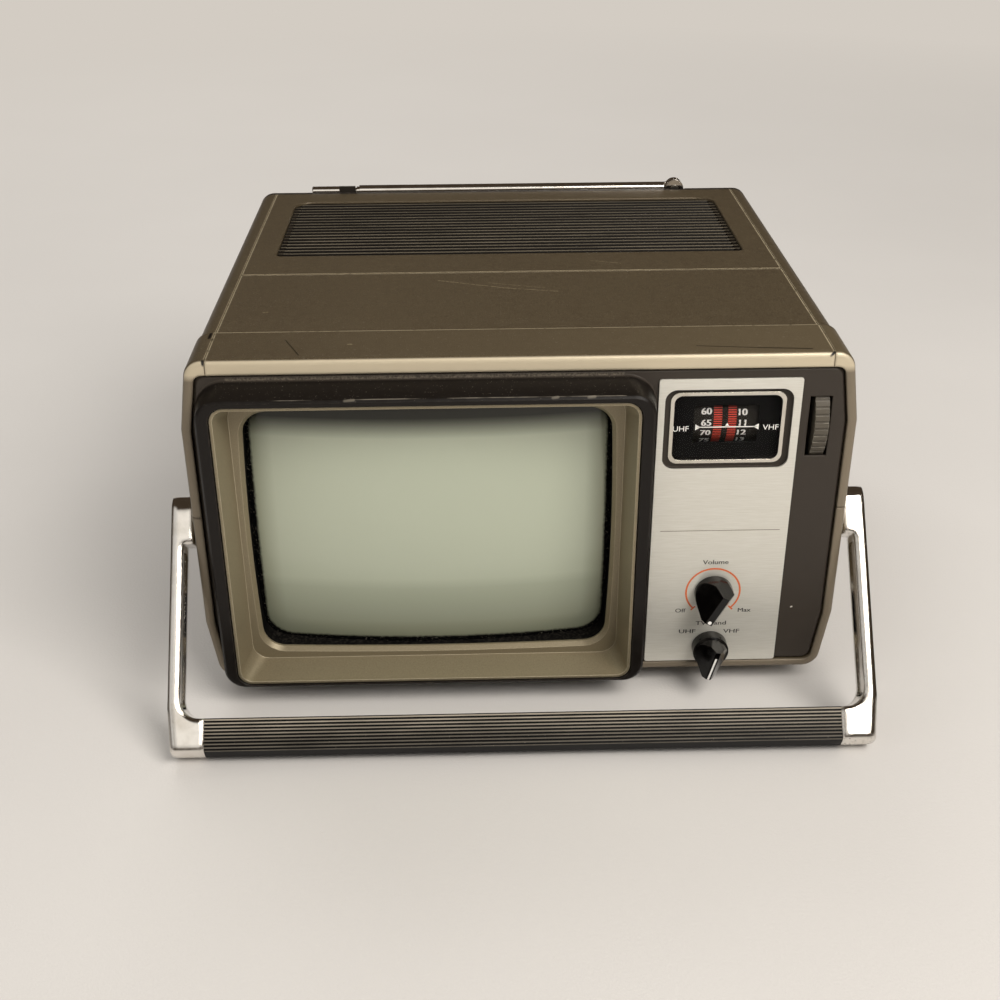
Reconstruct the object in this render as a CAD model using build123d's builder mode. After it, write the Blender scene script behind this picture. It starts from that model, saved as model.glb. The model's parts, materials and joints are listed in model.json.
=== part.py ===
"""Portable television, seven inch class, with a swing-down carrying handle.

Millimetres. X runs to the right as seen from the front, Y to the back and Z up.
z = 0 is the table. Every place in depth is counted from front_y, the front face of the cabinet.
"""
import os
from math import asin, atan, cos, degrees, hypot, radians, sin, sqrt, tan

from build123d import *

os.makedirs("parts", exist_ok=True)


# ---------------------------------------------------------------- driving dimensions

# cabinet
cabinet_width = 279.0        # widest, between the upright side faces
cabinet_height = 155.0       # without the feet
cabinet_depth = 248.0        # front face to the back edge of the covers
cabinet_wall = 2.5
shoulder_drop = 31.0         # upper edge of the upright side face, below the top
shoulder_lean = 4.6          # how far the side leans in above it
skirt_rise = 29.0            # lower edge of the upright side face, above the bottom
skirt_lean = 4.2             # how far the side leans in below it
corner_radius = 8.0
nose_depth = 30.5            # proud front section of the cabinet
nose_step = 0.8              # how far the rear cabinet stands back from it
nose_round = 2.2
top_fall = 6.0               # how much lower the top is at the back
groove_y = 0.433 * cabinet_depth  # decorative groove across the top
groove_width = 0.9
groove_depth = 0.6
seam_x = cabinet_width / 2 - 12.75  # lengthwise seams of the top cover, each side of the middle
seam_gap = 0.3
split_drop = cabinet_height / 2 - 5.5  # level of the joint between side and lower covers, below the top

# front opening of the cabinet
band_top = 6.3
band_side = 4.3
band_bottom = 4.0
band_depth = 4.0
fit_gap = 0.3                # round a piece let into another

# rubber feet
foot_height = 8.5
foot_radius = 9.0
foot_inset_x = 34.0
foot_inset_y = 42.0

# screen
screen_x = -38.4             # middle of the screen
mask_ledge = 5.5             # step round the opening
mask_flare_x = 3.8           # how far the mask widens from the step to its lip
mask_flare_z = 2.7
hood_rim_side = 7.0
hood_rim_top = 4.3
hood_rim_bottom = 3.0
hood_base_grow = 1.3         # hood is this much larger where it meets the panel
screen_drop = cabinet_height / 2 + 5.8        # middle of the screen, below the top
frame_x = mask_ledge + mask_flare_x + hood_rim_side + hood_base_grow
frame_z = 2 * (mask_ledge + mask_flare_z) + hood_rim_top + hood_rim_bottom
screen_width = cabinet_width - 91.2 - 2 * frame_x   # clear opening of the mask
screen_height = cabinet_height - 15.1 - frame_z
screen_radius = 10.0
screen_bow = 1.6             # outward bow of each side of the opening
mask_lead = 1.5              # bevelled part of that step, next to the opening
mask_wall = 1.2
mask_flange = 2.2
mask_step_back = 3.0         # step, behind the cabinet face
mask_end_back = 6.0
lip_radius = 5.0
step_radius = 7.5
tube_radius = 2.818 * screen_width  # curvature of the faceplate
tube_recess = 5.2            # middle of the faceplate, behind the cabinet face
tube_margin = 6.0            # faceplate beyond the clear opening
tube_skirt_back = 32.0       # where the faceplate turns into the funnel
tube_funnel_back = 0.476 * cabinet_depth  # where the funnel meets the neck
tube_funnel_radius = 15.0
tube_neck_radius = 10.2
tube_end_back = cabinet_depth - 52.0

# front panel and hood
panel_recess = 0.8
panel_thickness = 2.5
hood_reach = 12.0            # rim, in front of the cabinet face
hood_radius = 9.0
hood_base_rise = 2.7         # its underside is this much higher there
visor_fall = 4.5             # drop of the visor from the panel to the rim
mask_lip_back = 0.8          # lip of the mask, behind the rim

# control plate
plate_right = cabinet_width / 2 - 24.3
plate_left = plate_right - 58.9
plate_drop = 11.0            # upper edge below the top
plate_bottom_drop = cabinet_height - 4.7
plate_thickness = 0.8

# tuning dial
dial_x = plate_left + 29.2
dial_drop = 33.9
dial_width = 52.9            # recess in the plate
dial_height = 36.4
dial_radius = 5.0
dial_frame_width = 47.8      # bright frame in the recess
dial_frame_height = 32.7
dial_frame_band = 1.6
dial_frame_back = 1.5        # frame stands this far behind the plate face
dial_floor_back = 2.2        # floor of the recess
dial_view_width = 27.0       # opening of the black card
dial_view_height = 17.0
drum_radius = 16.0
drum_width = 31.0
shaft_radius = 2.0
wheel_x = cabinet_width / 2 - 15.4
wheel_width = 5.8
wheel_radius = 23.5
wheel_ribs = 48
wheel_notch = 1.0
wheel_notch_depth = 0.45
tuning_axis_back = 21.5      # drum and wheel axis, behind the cabinet face
tuning_drop = 33.4
slot_x = cabinet_width / 2 - 16.1
slot_width = 9.2
slot_play = 1.27             # slot taller than the wheel where it comes through
slot_skin = 1.2              # panel is thinner round the slot
slot_room = 1.5
drum_wall = 1.5
drum_web = 2.0
window_play = 0.1
window_sunk = 0.5            # window behind the front of its frame
card_margin = (4.0, 2.0)     # card wider and higher than the frame
run_gap = 0.06               # radial clearance of a turning shaft
drum_play = 0.6
wheel_hub_radius = 4.0
card_sheet = 0.8
bracket_sheet = 1.6
bracket_height = 14.0
tuner_width = 34.0
tuner_height = 30.0
tuner_length = 40.0
tuner_coil_x = 8.0
tuner_coil_radius = 4.0
tuner_coil_length = 6.0

# volume and band knobs
knob_x = plate_left + 28.9
volume_drop = cabinet_height - 41.4
band_drop = cabinet_height - 12.8
knob_radius = 8.5
knob_height = 14.5
knob_tip = 11.0              # pointer end of the knob, from its axis
volume_ridge = 3.0           # width of the front ridge
band_ridge = 2.2
volume_off_angle = 28.0      # pointer from straight down, towards the left
band_angle = 15.0            # pointer from straight down at VHF
band_collar_radius = 7.9
knob_shaft_radius = 3.0
knob_stand = 0.4             # gap between knob and plate
knob_bore = 8.0
knob_toe = 1.6               # radius of the pointer at its foot
knob_ridge_heel = 6.3        # ends of the front ridge, from the axis
knob_ridge_tip = 8.4
volume_collar = 1.5
band_collar = 5.0
band_step = 0.7              # grip of the band knob inside its collar
bushing_reach = 2.3          # shaft ends this far inside the back of its control
bushing_radius = 4.5
pot_radius = 8.0
pot_length = 10.0
switch_width = 22.0
switch_height = 16.0
switch_length = 12.0

# carrying handle
handle_width = cabinet_width + 22.0  # outside the arms
arm_thickness = 5.0
arm_width = 13.5
pivot_back = 18.0
pivot_drop = cabinet_height / 2 + 1.5
pivot_radius = 4.0
arm_reach = 0.682 * cabinet_height  # pivot to the far face of the grip
grip_inner = arm_reach - 16.2  # pivot to the near face of the grip
grip_length = handle_width - 31.0
grip_back = 4.0              # grip behind the pivot plane
grip_bevel = 2.5             # bevel along the far upper edge of the grip
grip_edge = 1.5              # upper end of the far face
grip_grooves = 8
groove_pitch = 1.45
arm_taper_start = arm_reach - 20.2
arm_taper_end = arm_reach - 14.2
inner_corner = 8.0
channel_start = 18.0
channel_end = arm_taper_start
channel_depth = 0.8
channel_lip = 2.2
tenon_length = 15.0
tenon_width = 9.0
tenon_height = 6.0
washer_thickness = 1.0
washer_radius = 9.0
hub_play = 0.15
hub_bore = 8.0
pivot_head = 2.5
corner_pull = 1.8            # how far the corners draw in at the grip
hub_length = 15.0
outer_corner = 2.0           # rounding of the outer corners at the grip
groove_share = 0.45          # part of each pitch that the groove takes

# telescopic rod
rod_x = cabinet_width / 2 - 43.5  # hinge of the rod, to the right of the middle
rod_back = cabinet_depth + 7.2
rod_drop = 7.4
rod_radii = (3.2, 2.5, 1.9, 1.3)
rod_root = 6.0               # first tube starts this far from the hinge
rod_length = 171.0
rod_run_gap = 0.07
rod_shows = 1.5              # each stage stands out of the one before
rod_neck = 7.5               # bare last stage before the tip
rod_tip_radius = 2.75
rod_tip_length = 16.0
knuckle_radius = 5.0
tongue_thickness = 2.2
ear_thickness = 1.4
hinge_pin_radius = 1.2
turret_radius = 5.4
turret_top_drop = 13.0
turret_disc = 1.2
turret_spigot = 3.0
turret_spigot_length = 12.0
rod_plug = 6.0               # solid root of each stage
rod_stagger = 1.0            # play between one root and the root inside it
clip_right = rod_x - rod_root - rod_length - 2.0
clip_left = clip_right - 9.0
clip_top_drop = 3.6
clip_sheet = 1.2
clip_foot = 6.0
socket_bottom_drop = 26.0
socket_radius = 6.6

# ventilation grille in the top
grille_width = cabinet_width - 51.0
grille_front = groove_y + 28.1
grille_back = cabinet_depth - 16.0
grille_front_radius = 3.0
grille_back_radius = 10.0
grille_ribs = round((grille_back - grille_front) / 5.05)
grille_sunk = 1.0            # rib tops below the cover
grille_rib_height = 1.7
grille_plate = 1.5
grille_flange = 4.0
grille_slot = 1.6
grille_bays = 2
grille_bar = 8.0             # solid bar between the rows of slots
grille_slot_depth = 6.0
valley_share = 0.66          # part of each rib pitch that the valley takes
valley_slope = 70.0

# floor
floor_vent_count = 9
floor_vent_pitch = 11.0
floor_vent_width = 3.0
floor_vent_length = 70.0

# back
back_plate = 3.0
back_bulge = 9.0             # the middle of the back cover stands out this much more
back_bulge_drop = 27.0       # upper edge of that part, below the top
back_bulge_rise = 12.0       # lower edge, above the bottom
back_bulge_side = 20.0       # side edges, in from the cabinet sides
back_draft = 5.0
vent_count = 15
vent_pitch = 6.5
vent_width = 2.4
vent_height = 46.0
rear_knob_radius = 6.0
rear_knob_height = 7.0
rear_knob_flats = 12
rear_knob_stand = 0.4
rear_hole_radius = 2.5
rear_shaft_length = 10.0
rear_control_radius = 8.0
rear_control_length = 9.0
bulge_radius = 8.0
spigot_length = 5.0
spigot_wall = 2.0
vent_lower = 12.0            # vents below the middle of the bulge
inlet_size = (24.0, 17.0)
inlet_radius = 3.0
inlet_depth = 14.0
inlet_rim = 2.5
inlet_room = 11.0
inlet_pin_radius = 1.2
inlet_pin_x = 4.0
inlet_pin_back = 2.0
dc_radius = 5.5
dc_bore = 2.8
dc_pin = 1.0
dc_depth = 12.0
dc_floor = 2.0
dc_pin_back = 1.5
phone_radius = 4.0
phone_depth = 16.0
jack_radius = 1.8
jack_depth = 15.0
terminal_size = (52.0, 13.0)
terminal_sheet = 2.0
terminal_pitch = 12.0
terminal_head = 3.0
terminal_head_height = 2.4
case_screw_radius = 1.6
case_screw_length = 8.0
case_screw_head = 3.2
case_screw_height = 1.8
screw_play = 0.1

# inside
screw_radius = 1.5
screw_head_height = 2.0
post_radius = 3.5
ear_radius = 5.0
ear_reach = 7.5              # ears of the band, outside the glass
ear_inset = 16.0
ear_screw_length = 12.0
ear_sheet = 1.5
band_sheet = 1.2
gasket_lip = 0.4             # gasket stays this far outside the clear opening
board_sheet = 1.6
neck_board_size = 50.0
socket_length = 12.0
socket_wall = 4.0
board_lift = 12.0            # circuit board above the underside of the cabinet
board_x = cabinet_width / 2 - 49.5
board_width = 82.0
board_back = cabinet_depth / 2 + 21.0
board_length = cabinet_depth - 72.0
board_margin = (7.0, 8.0)    # posts in from the edges of the board
flyback_x = board_x + 2.0
flyback_back = 0.504 * cabinet_depth
flyback_size = (34.0, 30.0)
flyback_height = 34.0
flyback_cap_radius = 12.0
flyback_cap_height = 14.0
sink_back = cabinet_depth - 36.0
sink_width = 66.0
sink_height = 38.0
sink_plate = 3.0
sink_fins = 11
sink_fin_pitch = 6.0
sink_fin_sheet = 1.5
sink_fin_depth = 18.0
core_size = (48.0, 24.0, 44.0)
winding_size = (30.0, 44.0, 26.0)
# each capacitor: right of the board's middle, share of the depth, radius and height
capacitors = (
    (-28.0, 0.363, 5.0, 16.0),
    (-28.0, 0.436, 6.5, 25.0),
    (-26.0, 0.686, 9.0, 35.0),
    (-6.0, 0.710, 6.5, 25.0),
    (22.0, 0.371, 5.0, 16.0),
    (28.0, 0.645, 8.0, 30.0),
)
yoke_front_radius = 30.0
yoke_back_radius = 20.0
yoke_length = 32.0
power_x = 45.5 - cabinet_width / 2
power_back = cabinet_depth - 53.0
speaker_x = 65.0
speaker_radius = 38.0
speaker_depth = 22.0
speaker_rim = 3.0
speaker_wall = 2.0
speaker_sheet = 1.6
magnet_radius = 17.0
magnet_height = 12.0
cone_sheet = 0.8


# ---------------------------------------------------------------- worked out from them

half_width = cabinet_width / 2
bottom_z = foot_height
top_z = foot_height + cabinet_height
pivot_z = top_z - pivot_drop
handle_sag = degrees(asin(pivot_z / hypot(arm_reach, grip_back)) - atan(grip_back / arm_reach))
handle_front = (
    pivot_back
    - (arm_reach - grip_bevel) * cos(radians(handle_sag))
    - arm_width / 2 * sin(radians(handle_sag))
)
bulge_back = cabinet_depth + back_plate + back_bulge
back_end = bulge_back + rear_knob_stand + rear_knob_height
front_y = -(handle_front + back_end) / 2      # puts the origin under the middle of the whole set
fall_angle = degrees(atan(top_fall / (cabinet_depth - nose_depth)))


def depth(back):
    """Y of a place given by its distance behind the cabinet face."""
    return front_y + back


def below_top(drop):
    """Z of a place given by its distance below the top edge."""
    return top_z - drop


def across(back):
    """Plane parallel to the front: local x is X, local y is Z, and its normal looks forward."""
    return Plane(origin=(0, depth(back), 0), x_dir=(1, 0, 0), z_dir=(0, -1, 0))


def upright(x):
    """Plane parallel to the sides: local x is Y, local y is Z, normal to the right."""
    return Plane(origin=(x, 0, 0), x_dir=(0, 1, 0), z_dir=(1, 0, 0))


# the top behind the nose falls towards the back; its own plane starts at the nose step
roof = Plane(
    origin=(0, depth(nose_depth), top_z - nose_step),
    x_dir=(1, 0, 0),
    z_dir=(0, sin(radians(fall_angle)), cos(radians(fall_angle))),
)


def write(part, name):
    part.part.label = name
    export_step(part.part, f"parts/{name}.step")


def cabinet_section(back, side=0.0, top=0.0, bottom=0.0, radius=corner_radius):
    """Cross-section of the cabinet, drawn in by the given amounts, on the plane at that depth."""
    wide = half_width - side
    high = top_z - top
    low = bottom_z + bottom
    lean_top = shoulder_lean * (high - (top_z - shoulder_drop)) / shoulder_drop
    lean_low = skirt_lean * (bottom_z + skirt_rise - low) / skirt_rise
    right = [
        (wide - lean_top, high),
        (wide, top_z - shoulder_drop),
        (wide, bottom_z + skirt_rise),
        (wide - lean_low, low),
    ]
    left = [(-x, z) for x, z in reversed(right)]
    with BuildSketch(across(back)) as section:
        with BuildLine():
            Polyline(*right, *left, close=True)
        make_face()
        corners = section.vertices().group_by(Axis.Z)
        fillet(corners[0] + corners[-1], radius)
    return section.sketch


def between(back_from, back_to, x_from, x_to, z_from, z_to):
    """Private block used to keep one region of the shell."""
    block = Box(x_to - x_from, back_to - back_from, z_to - z_from, mode=Mode.PRIVATE)
    return Pos((x_from + x_to) / 2, depth((back_from + back_to) / 2), (z_from + z_to) / 2) * block


# ---------------------------------------------------------------- cabinet shell, before it is divided

with BuildPart() as shell:
    # the front edge is rounded in two facets
    for turn in (0, 45, 90):
        pull = nose_round * (1 - sin(radians(turn)))
        add(cabinet_section(nose_round * (1 - cos(radians(turn))), pull, pull, pull, corner_radius - pull))
    loft(ruled=True)
    extrude(cabinet_section(nose_round), amount=nose_round - nose_depth)
    add(cabinet_section(nose_depth, nose_step, nose_step, nose_step))
    add(cabinet_section(cabinet_depth, nose_step, nose_step + top_fall, nose_step))
    loft()
    # the room inside, open at the back
    inner = cabinet_wall + nose_step
    inner_radius = corner_radius - cabinet_wall
    for back in (band_depth, cabinet_depth + 1):
        ceiling = inner + (back - nose_depth) * tan(radians(fall_angle))
        add(cabinet_section(back, inner, ceiling, inner, inner_radius))
    loft(mode=Mode.SUBTRACT)
    # the front opening
    mouth = cabinet_section(-1, band_side, band_top, band_bottom, corner_radius - band_side)
    extrude(mouth, amount=-band_depth - 2, mode=Mode.SUBTRACT)
    # grooves across the top: one at the nose step, one further back
    for groove_back, groove_top in ((nose_depth, 0), (groove_y, 1)):
        with BuildSketch(upright(0)):
            with Locations((depth(groove_back), top_z - groove_top * (nose_step
                            + (groove_back - nose_depth) * tan(radians(fall_angle))))):
                Rectangle(groove_width, 2 * groove_depth)
        extrude(amount=half_width - corner_radius - shoulder_lean, both=True, mode=Mode.SUBTRACT)


split_z = below_top(split_drop)
half_seam = seam_gap / 2
grille_middle = (grille_front + grille_back) / 2 - nose_depth


def keep(back_from, back_to, x_from, x_to, z_from, z_to):
    """The region of the shell inside a block, as a private solid."""
    return shell.part & between(back_from, back_to, x_from, x_to, z_from, z_to)


# ---------------------------------------------------------------- covers

with BuildPart() as top_cover:
    add(keep(-1, cabinet_depth + 1, -seam_x + half_seam, seam_x - half_seam, split_z, top_z + 1))
    # opening for the grille, its back corners rounder than its front ones
    with BuildSketch(roof):
        with Locations((0, grille_middle)):
            Rectangle(grille_width, grille_back - grille_front)
        fillet(vertices().group_by(Axis.Y)[0], grille_front_radius)
        fillet(vertices().group_by(Axis.Y)[-1], grille_back_radius)
    extrude(amount=cabinet_wall * 2, both=True, mode=Mode.SUBTRACT)
write(top_cover, "top_cover")

wall_below = cabinet_wall * cos(radians(fall_angle))
grille_length = grille_back - grille_front - 2 * fit_gap
rib_foot = -grille_sunk - grille_rib_height
rib_pitch = grille_length / grille_ribs
valley_width = rib_pitch * valley_share
bay = (grille_width - 2 * fit_gap) / grille_bays

with BuildPart() as top_grille:
    # flange that bears on the underside of the cover
    with BuildSketch(roof.offset(-wall_below)):
        with Locations((0, grille_middle)):
            flange_size = (grille_width + 2 * grille_flange, grille_length + 2 * grille_flange)
            RectangleRounded(*flange_size, grille_front_radius)
    extrude(amount=-grille_plate)
    with BuildSketch(roof.offset(-wall_below - grille_plate)):
        with Locations((0, grille_middle)):
            Rectangle(grille_width - 2 * fit_gap, grille_length)
        fillet(vertices().group_by(Axis.Y)[0], grille_front_radius)
        fillet(vertices().group_by(Axis.Y)[-1], grille_back_radius)
    extrude(amount=wall_below + grille_plate - grille_sunk)
    # the valleys between the ribs are cut into it
    with BuildSketch(upright(0)):
        for i in range(grille_ribs - 1):
            across_top = grille_middle + (i - (grille_ribs - 2) / 2) * rib_pitch
            foot = roof.from_local_coords((0, across_top, rib_foot))
            with Locations((foot.Y, foot.Z)):
                Trapezoid(valley_width, 2 * grille_rib_height, valley_slope, rotation=180 - fall_angle)
    extrude(amount=grille_width / 2 - grille_front_radius, both=True, mode=Mode.SUBTRACT)
    # ventilation slots in the floor of the valleys
    with BuildSketch(roof.offset(rib_foot)):
        with Locations((0, grille_middle)):
            with GridLocations(bay, rib_pitch, grille_bays, grille_ribs - 1):
                Rectangle(bay - grille_bar, grille_slot)
    extrude(amount=-grille_slot_depth, mode=Mode.SUBTRACT)
write(top_grille, "top_grille")

for side, side_name in ((-1, "left"), (1, "right")):
    reach = sorted((side * (seam_x + half_seam), side * (half_width + 1)))
    with BuildPart() as side_cover:
        add(keep(-1, cabinet_depth + 1, *reach, split_z + half_seam, top_z + 1))
    write(side_cover, f"side_cover_{side_name}")

pivot_place = (depth(pivot_back), pivot_z)
board_z = bottom_z + board_lift
post_x = board_width / 2 - board_margin[0]
post_y = board_length / 2 - board_margin[1]
board_posts = [(board_x + i * post_x, depth(board_back + j * post_y)) for i in (-1, 1) for j in (-1, 1)]
foot_places = [
    (i * (half_width - foot_inset_x), depth(back))
    for i in (-1, 1) for back in (foot_inset_y, cabinet_depth - foot_inset_y)
]

with BuildPart() as lower_cover:
    add(keep(-1, cabinet_depth + 1, -half_width - 1, half_width + 1, 0, split_z - half_seam))
    # holes for the pivots of the handle
    with BuildSketch(upright(0)):
        with Locations(pivot_place):
            Circle(pivot_radius + run_gap)
    extrude(amount=half_width + 1, both=True, mode=Mode.SUBTRACT)
    # posts for the circuit board
    with BuildSketch(Plane.XY.offset(bottom_z + 1)):
        with Locations(*board_posts):
            Circle(post_radius)
    extrude(amount=board_z - bottom_z - 1)
    # ventilation slots in the floor
    with BuildSketch(Plane.XY.offset(bottom_z - 1)):
        with Locations((screen_x, depth(cabinet_depth / 2))):
            with GridLocations(floor_vent_pitch, 1, floor_vent_count, 1):
                Rectangle(floor_vent_width, floor_vent_length)
    extrude(amount=cabinet_wall + nose_step + 2, mode=Mode.SUBTRACT)
write(lower_cover, "lower_cover")

with BuildPart() as feet:
    with Locations(*[(x, y, (foot_height + nose_step) / 2) for x, y in foot_places]):
        Cylinder(foot_radius, foot_height + nose_step)
write(feet, "feet")

# ---------------------------------------------------------------- back cover

bulge_x = half_width - back_bulge_side
bulge_top = below_top(back_bulge_drop)
bulge_low = bottom_z + back_bulge_rise
bulge_mid = (bulge_top + bulge_low) / 2
plate_end = cabinet_depth + back_plate
jack_z = bottom_z + 30
inlet_x = half_width - 47.5
dc_x = inlet_x - 26.0
phone_x = dc_x - 20.0
terminal_x = 55.5 - half_width
terminal_z = below_top(46)
rear_knobs = {"brightness": -16.0, "contrast": 8.0, "hold": 32.0}
rear_knob_z = below_top(48)
screw_places = [(i * (half_width - 12), z) for i in (-1, 1) for z in (bottom_z + 22, below_top(40))]


def bulge_outline(back, draw_in):
    with BuildSketch(across(back)) as outline:
        with Locations((0, bulge_mid)):
            RectangleRounded(2 * (bulge_x - draw_in), bulge_top - bulge_low - 2 * draw_in, bulge_radius)
    return outline.sketch


with BuildPart() as back_cover:
    extrude(cabinet_section(cabinet_depth, nose_step, nose_step + top_fall, nose_step), amount=-back_plate)
    # spigot that enters the covers
    inside = cabinet_wall + nose_step + fit_gap
    spigot_end = cabinet_depth - spigot_length
    spigot_radius = corner_radius - cabinet_wall
    spigot = cabinet_section(spigot_end, inside, inside + top_fall, inside, spigot_radius)
    extrude(spigot, amount=-spigot_length)
    more = inside + spigot_wall
    room = cabinet_section(spigot_end - 1, more, more + top_fall, more, spigot_radius - spigot_wall)
    extrude(room, amount=-spigot_length - 1, mode=Mode.SUBTRACT)
    # bulging middle, hollow inside
    add(bulge_outline(plate_end, 0))
    add(bulge_outline(bulge_back, back_draft))
    loft()
    add(bulge_outline(cabinet_depth - 1, cabinet_wall))
    add(bulge_outline(bulge_back - cabinet_wall, back_draft + cabinet_wall))
    loft(mode=Mode.SUBTRACT)
    # ventilation slots
    with BuildSketch(across(bulge_back + 1)):
        with Locations((screen_x, bulge_mid - vent_lower)):
            with GridLocations(vent_pitch, 1, vent_count, 1):
                Rectangle(vent_width, vent_height)
        # holes for the inlet, the sockets and the rear controls
        with Locations((inlet_x, jack_z)):
            RectangleRounded(*inlet_size, inlet_radius)
        with Locations((dc_x, jack_z)):
            Circle(dc_radius + fit_gap)
        with Locations((phone_x, jack_z)):
            Circle(phone_radius + fit_gap)
        with Locations(*[(x, rear_knob_z) for x in rear_knobs.values()]):
            Circle(rear_hole_radius)
    extrude(amount=back_bulge + 1, mode=Mode.SUBTRACT)
    # hollow round the turret of the rod
    with BuildSketch(Plane.XY.offset(below_top(socket_bottom_drop))):
        with Locations((rod_x, depth(rod_back))):
            Circle(socket_radius + fit_gap)
    extrude(amount=socket_bottom_drop, mode=Mode.SUBTRACT)
    # holes of the cover screws
    with BuildSketch(across(plate_end + 1)):
        with Locations(*screw_places):
            Circle(case_screw_radius + screw_play)
    extrude(amount=back_plate + 2, mode=Mode.SUBTRACT)
write(back_cover, "back_cover")

with BuildPart() as case_screws:
    with BuildSketch(across(cabinet_depth - case_screw_length)):
        with Locations(*screw_places):
            Circle(case_screw_radius)
    extrude(amount=-case_screw_length - back_plate)
    with BuildSketch(across(plate_end)):
        with Locations(*screw_places):
            Circle(case_screw_head)
    extrude(amount=-case_screw_height)
write(case_screws, "case_screws")

with BuildPart() as ac_inlet:
    with BuildSketch(across(bulge_back)):
        with Locations((inlet_x, jack_z)):
            RectangleRounded(inlet_size[0] - 2 * fit_gap, inlet_size[1] - 2 * fit_gap, inlet_radius)
    extrude(amount=inlet_depth)
    with BuildSketch(across(bulge_back)):
        with Locations((inlet_x, jack_z)):
            SlotOverall(inlet_size[0] - 2 * inlet_rim, inlet_size[1] - 3 * inlet_rim)
    extrude(amount=inlet_room, mode=Mode.SUBTRACT)
write(ac_inlet, "ac_inlet")

with BuildPart() as inlet_pins:
    with BuildSketch(across(bulge_back - inlet_pin_back)):
        with Locations((inlet_x - inlet_pin_x, jack_z), (inlet_x + inlet_pin_x, jack_z)):
            Circle(inlet_pin_radius)
    extrude(amount=inlet_room - inlet_pin_back)
write(inlet_pins, "inlet_pins")

with BuildPart() as dc_jack:
    with BuildSketch(across(bulge_back)):
        with Locations((dc_x, jack_z)):
            Circle(dc_radius)
            Circle(dc_bore, mode=Mode.SUBTRACT)
    extrude(amount=dc_depth)
    with BuildSketch(across(bulge_back - dc_pin_back)):
        with Locations((dc_x, jack_z)):
            Circle(dc_pin)
    extrude(amount=dc_depth - dc_pin_back)
    with BuildSketch(across(bulge_back - dc_depth + dc_floor)):
        with Locations((dc_x, jack_z)):
            Circle(dc_radius)
    extrude(amount=dc_floor)
write(dc_jack, "dc_jack")

with BuildPart() as earphone_jack:
    with BuildSketch(across(bulge_back)):
        with Locations((phone_x, jack_z)):
            Circle(phone_radius)
    extrude(amount=phone_depth)
    with BuildSketch(across(bulge_back)):
        with Locations((phone_x, jack_z)):
            Circle(jack_radius)
    extrude(amount=jack_depth, mode=Mode.SUBTRACT)
write(earphone_jack, "earphone_jack")

with BuildPart() as terminal_board:
    with BuildSketch(across(bulge_back)):
        with Locations((terminal_x, terminal_z)):
            Rectangle(*terminal_size)
    extrude(amount=-terminal_sheet)
write(terminal_board, "terminal_board")

with BuildPart() as terminal_screws:
    with BuildSketch(across(bulge_back + terminal_sheet)):
        with Locations((terminal_x, terminal_z)):
            with GridLocations(terminal_pitch, 1, 4, 1):
                Circle(terminal_head)
    extrude(amount=-terminal_head_height)
write(terminal_screws, "terminal_screws")

control_back = bulge_back - cabinet_wall
for knob_name, knob_place in rear_knobs.items():
    with BuildPart() as rear_knob:
        with BuildSketch(across(bulge_back + rear_knob_stand)):
            with Locations((knob_place, rear_knob_z)):
                RegularPolygon(rear_knob_radius, rear_knob_flats)
        extrude(amount=-rear_knob_height)
        with BuildSketch(across(bulge_back + rear_knob_stand)):
            with Locations((knob_place, rear_knob_z)):
                Circle(shaft_radius)
        extrude(amount=rear_shaft_length)
        with BuildSketch(across(bulge_back + rear_knob_stand + rear_knob_height)):
            with Locations((knob_place, rear_knob_z)):
                Rectangle(rear_knob_radius * 1.5, 1)
        extrude(amount=1, mode=Mode.SUBTRACT)
    write(rear_knob, f"{knob_name}_knob")

with BuildPart() as rear_controls:
    with BuildSketch(across(control_back)):
        with Locations(*[(x, rear_knob_z) for x in rear_knobs.values()]):
            Circle(rear_control_radius)
            Circle(shaft_radius + run_gap, mode=Mode.SUBTRACT)
    extrude(amount=rear_control_length)
write(rear_controls, "rear_controls")

# ---------------------------------------------------------------- front panel, hood and mask

screen_z = below_top(screen_drop)
clear_x = screen_width / 2
clear_z = screen_height / 2
step_x = clear_x + mask_ledge
step_z = clear_z + mask_ledge
lip_x = step_x + mask_flare_x
lip_z = step_z + mask_flare_z
lip_back = mask_lip_back - hood_reach
panel_back = panel_recess + panel_thickness
plate_face = panel_recess - plate_thickness
wheel_reach = tuning_axis_back - panel_recess - slot_skin
slot_height = 2 * sqrt(wheel_radius ** 2 - wheel_reach ** 2) + slot_play
dial_z = below_top(dial_drop)
tuning_z = below_top(tuning_drop)
volume_z = below_top(volume_drop)
band_z = below_top(band_drop)


def screen_outline(back, wide, high, radius, bow=0.0, low=None):
    """Rounded outline round the middle of the screen, its sides straight or bowed outwards."""
    low = -high if low is None else low
    with BuildSketch(across(back)) as outline:
        with BuildLine():
            for start, middle, end in (
                ((-wide, low), (0, low - bow), (wide, low)),
                ((wide, low), (wide + bow, (low + high) / 2), (wide, high)),
                ((wide, high), (0, high + bow), (-wide, high)),
                ((-wide, high), (-wide - bow, (low + high) / 2), (-wide, low)),
            ):
                first, half_way, last = [(screen_x + x, screen_z + z) for x, z in (start, middle, end)]
                if bow:
                    ThreePointArc(first, half_way, last)
                else:
                    Line(first, last)
        make_face()
        fillet(outline.vertices(), radius)
    return outline.sketch


def mask_half(back, grow):
    """Half width and half height of the mask's flared wall at one depth, plus an allowance."""
    share = (mask_step_back - back) / (mask_step_back - lip_back)
    return step_x + share * mask_flare_x + grow, step_z + share * mask_flare_z + grow


panel_side = band_side + fit_gap
panel_top = band_top + fit_gap
panel_low = band_bottom + fit_gap
panel_radius = corner_radius - band_side
panel_soft = 1.1             # softened front edge of the panel

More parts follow.
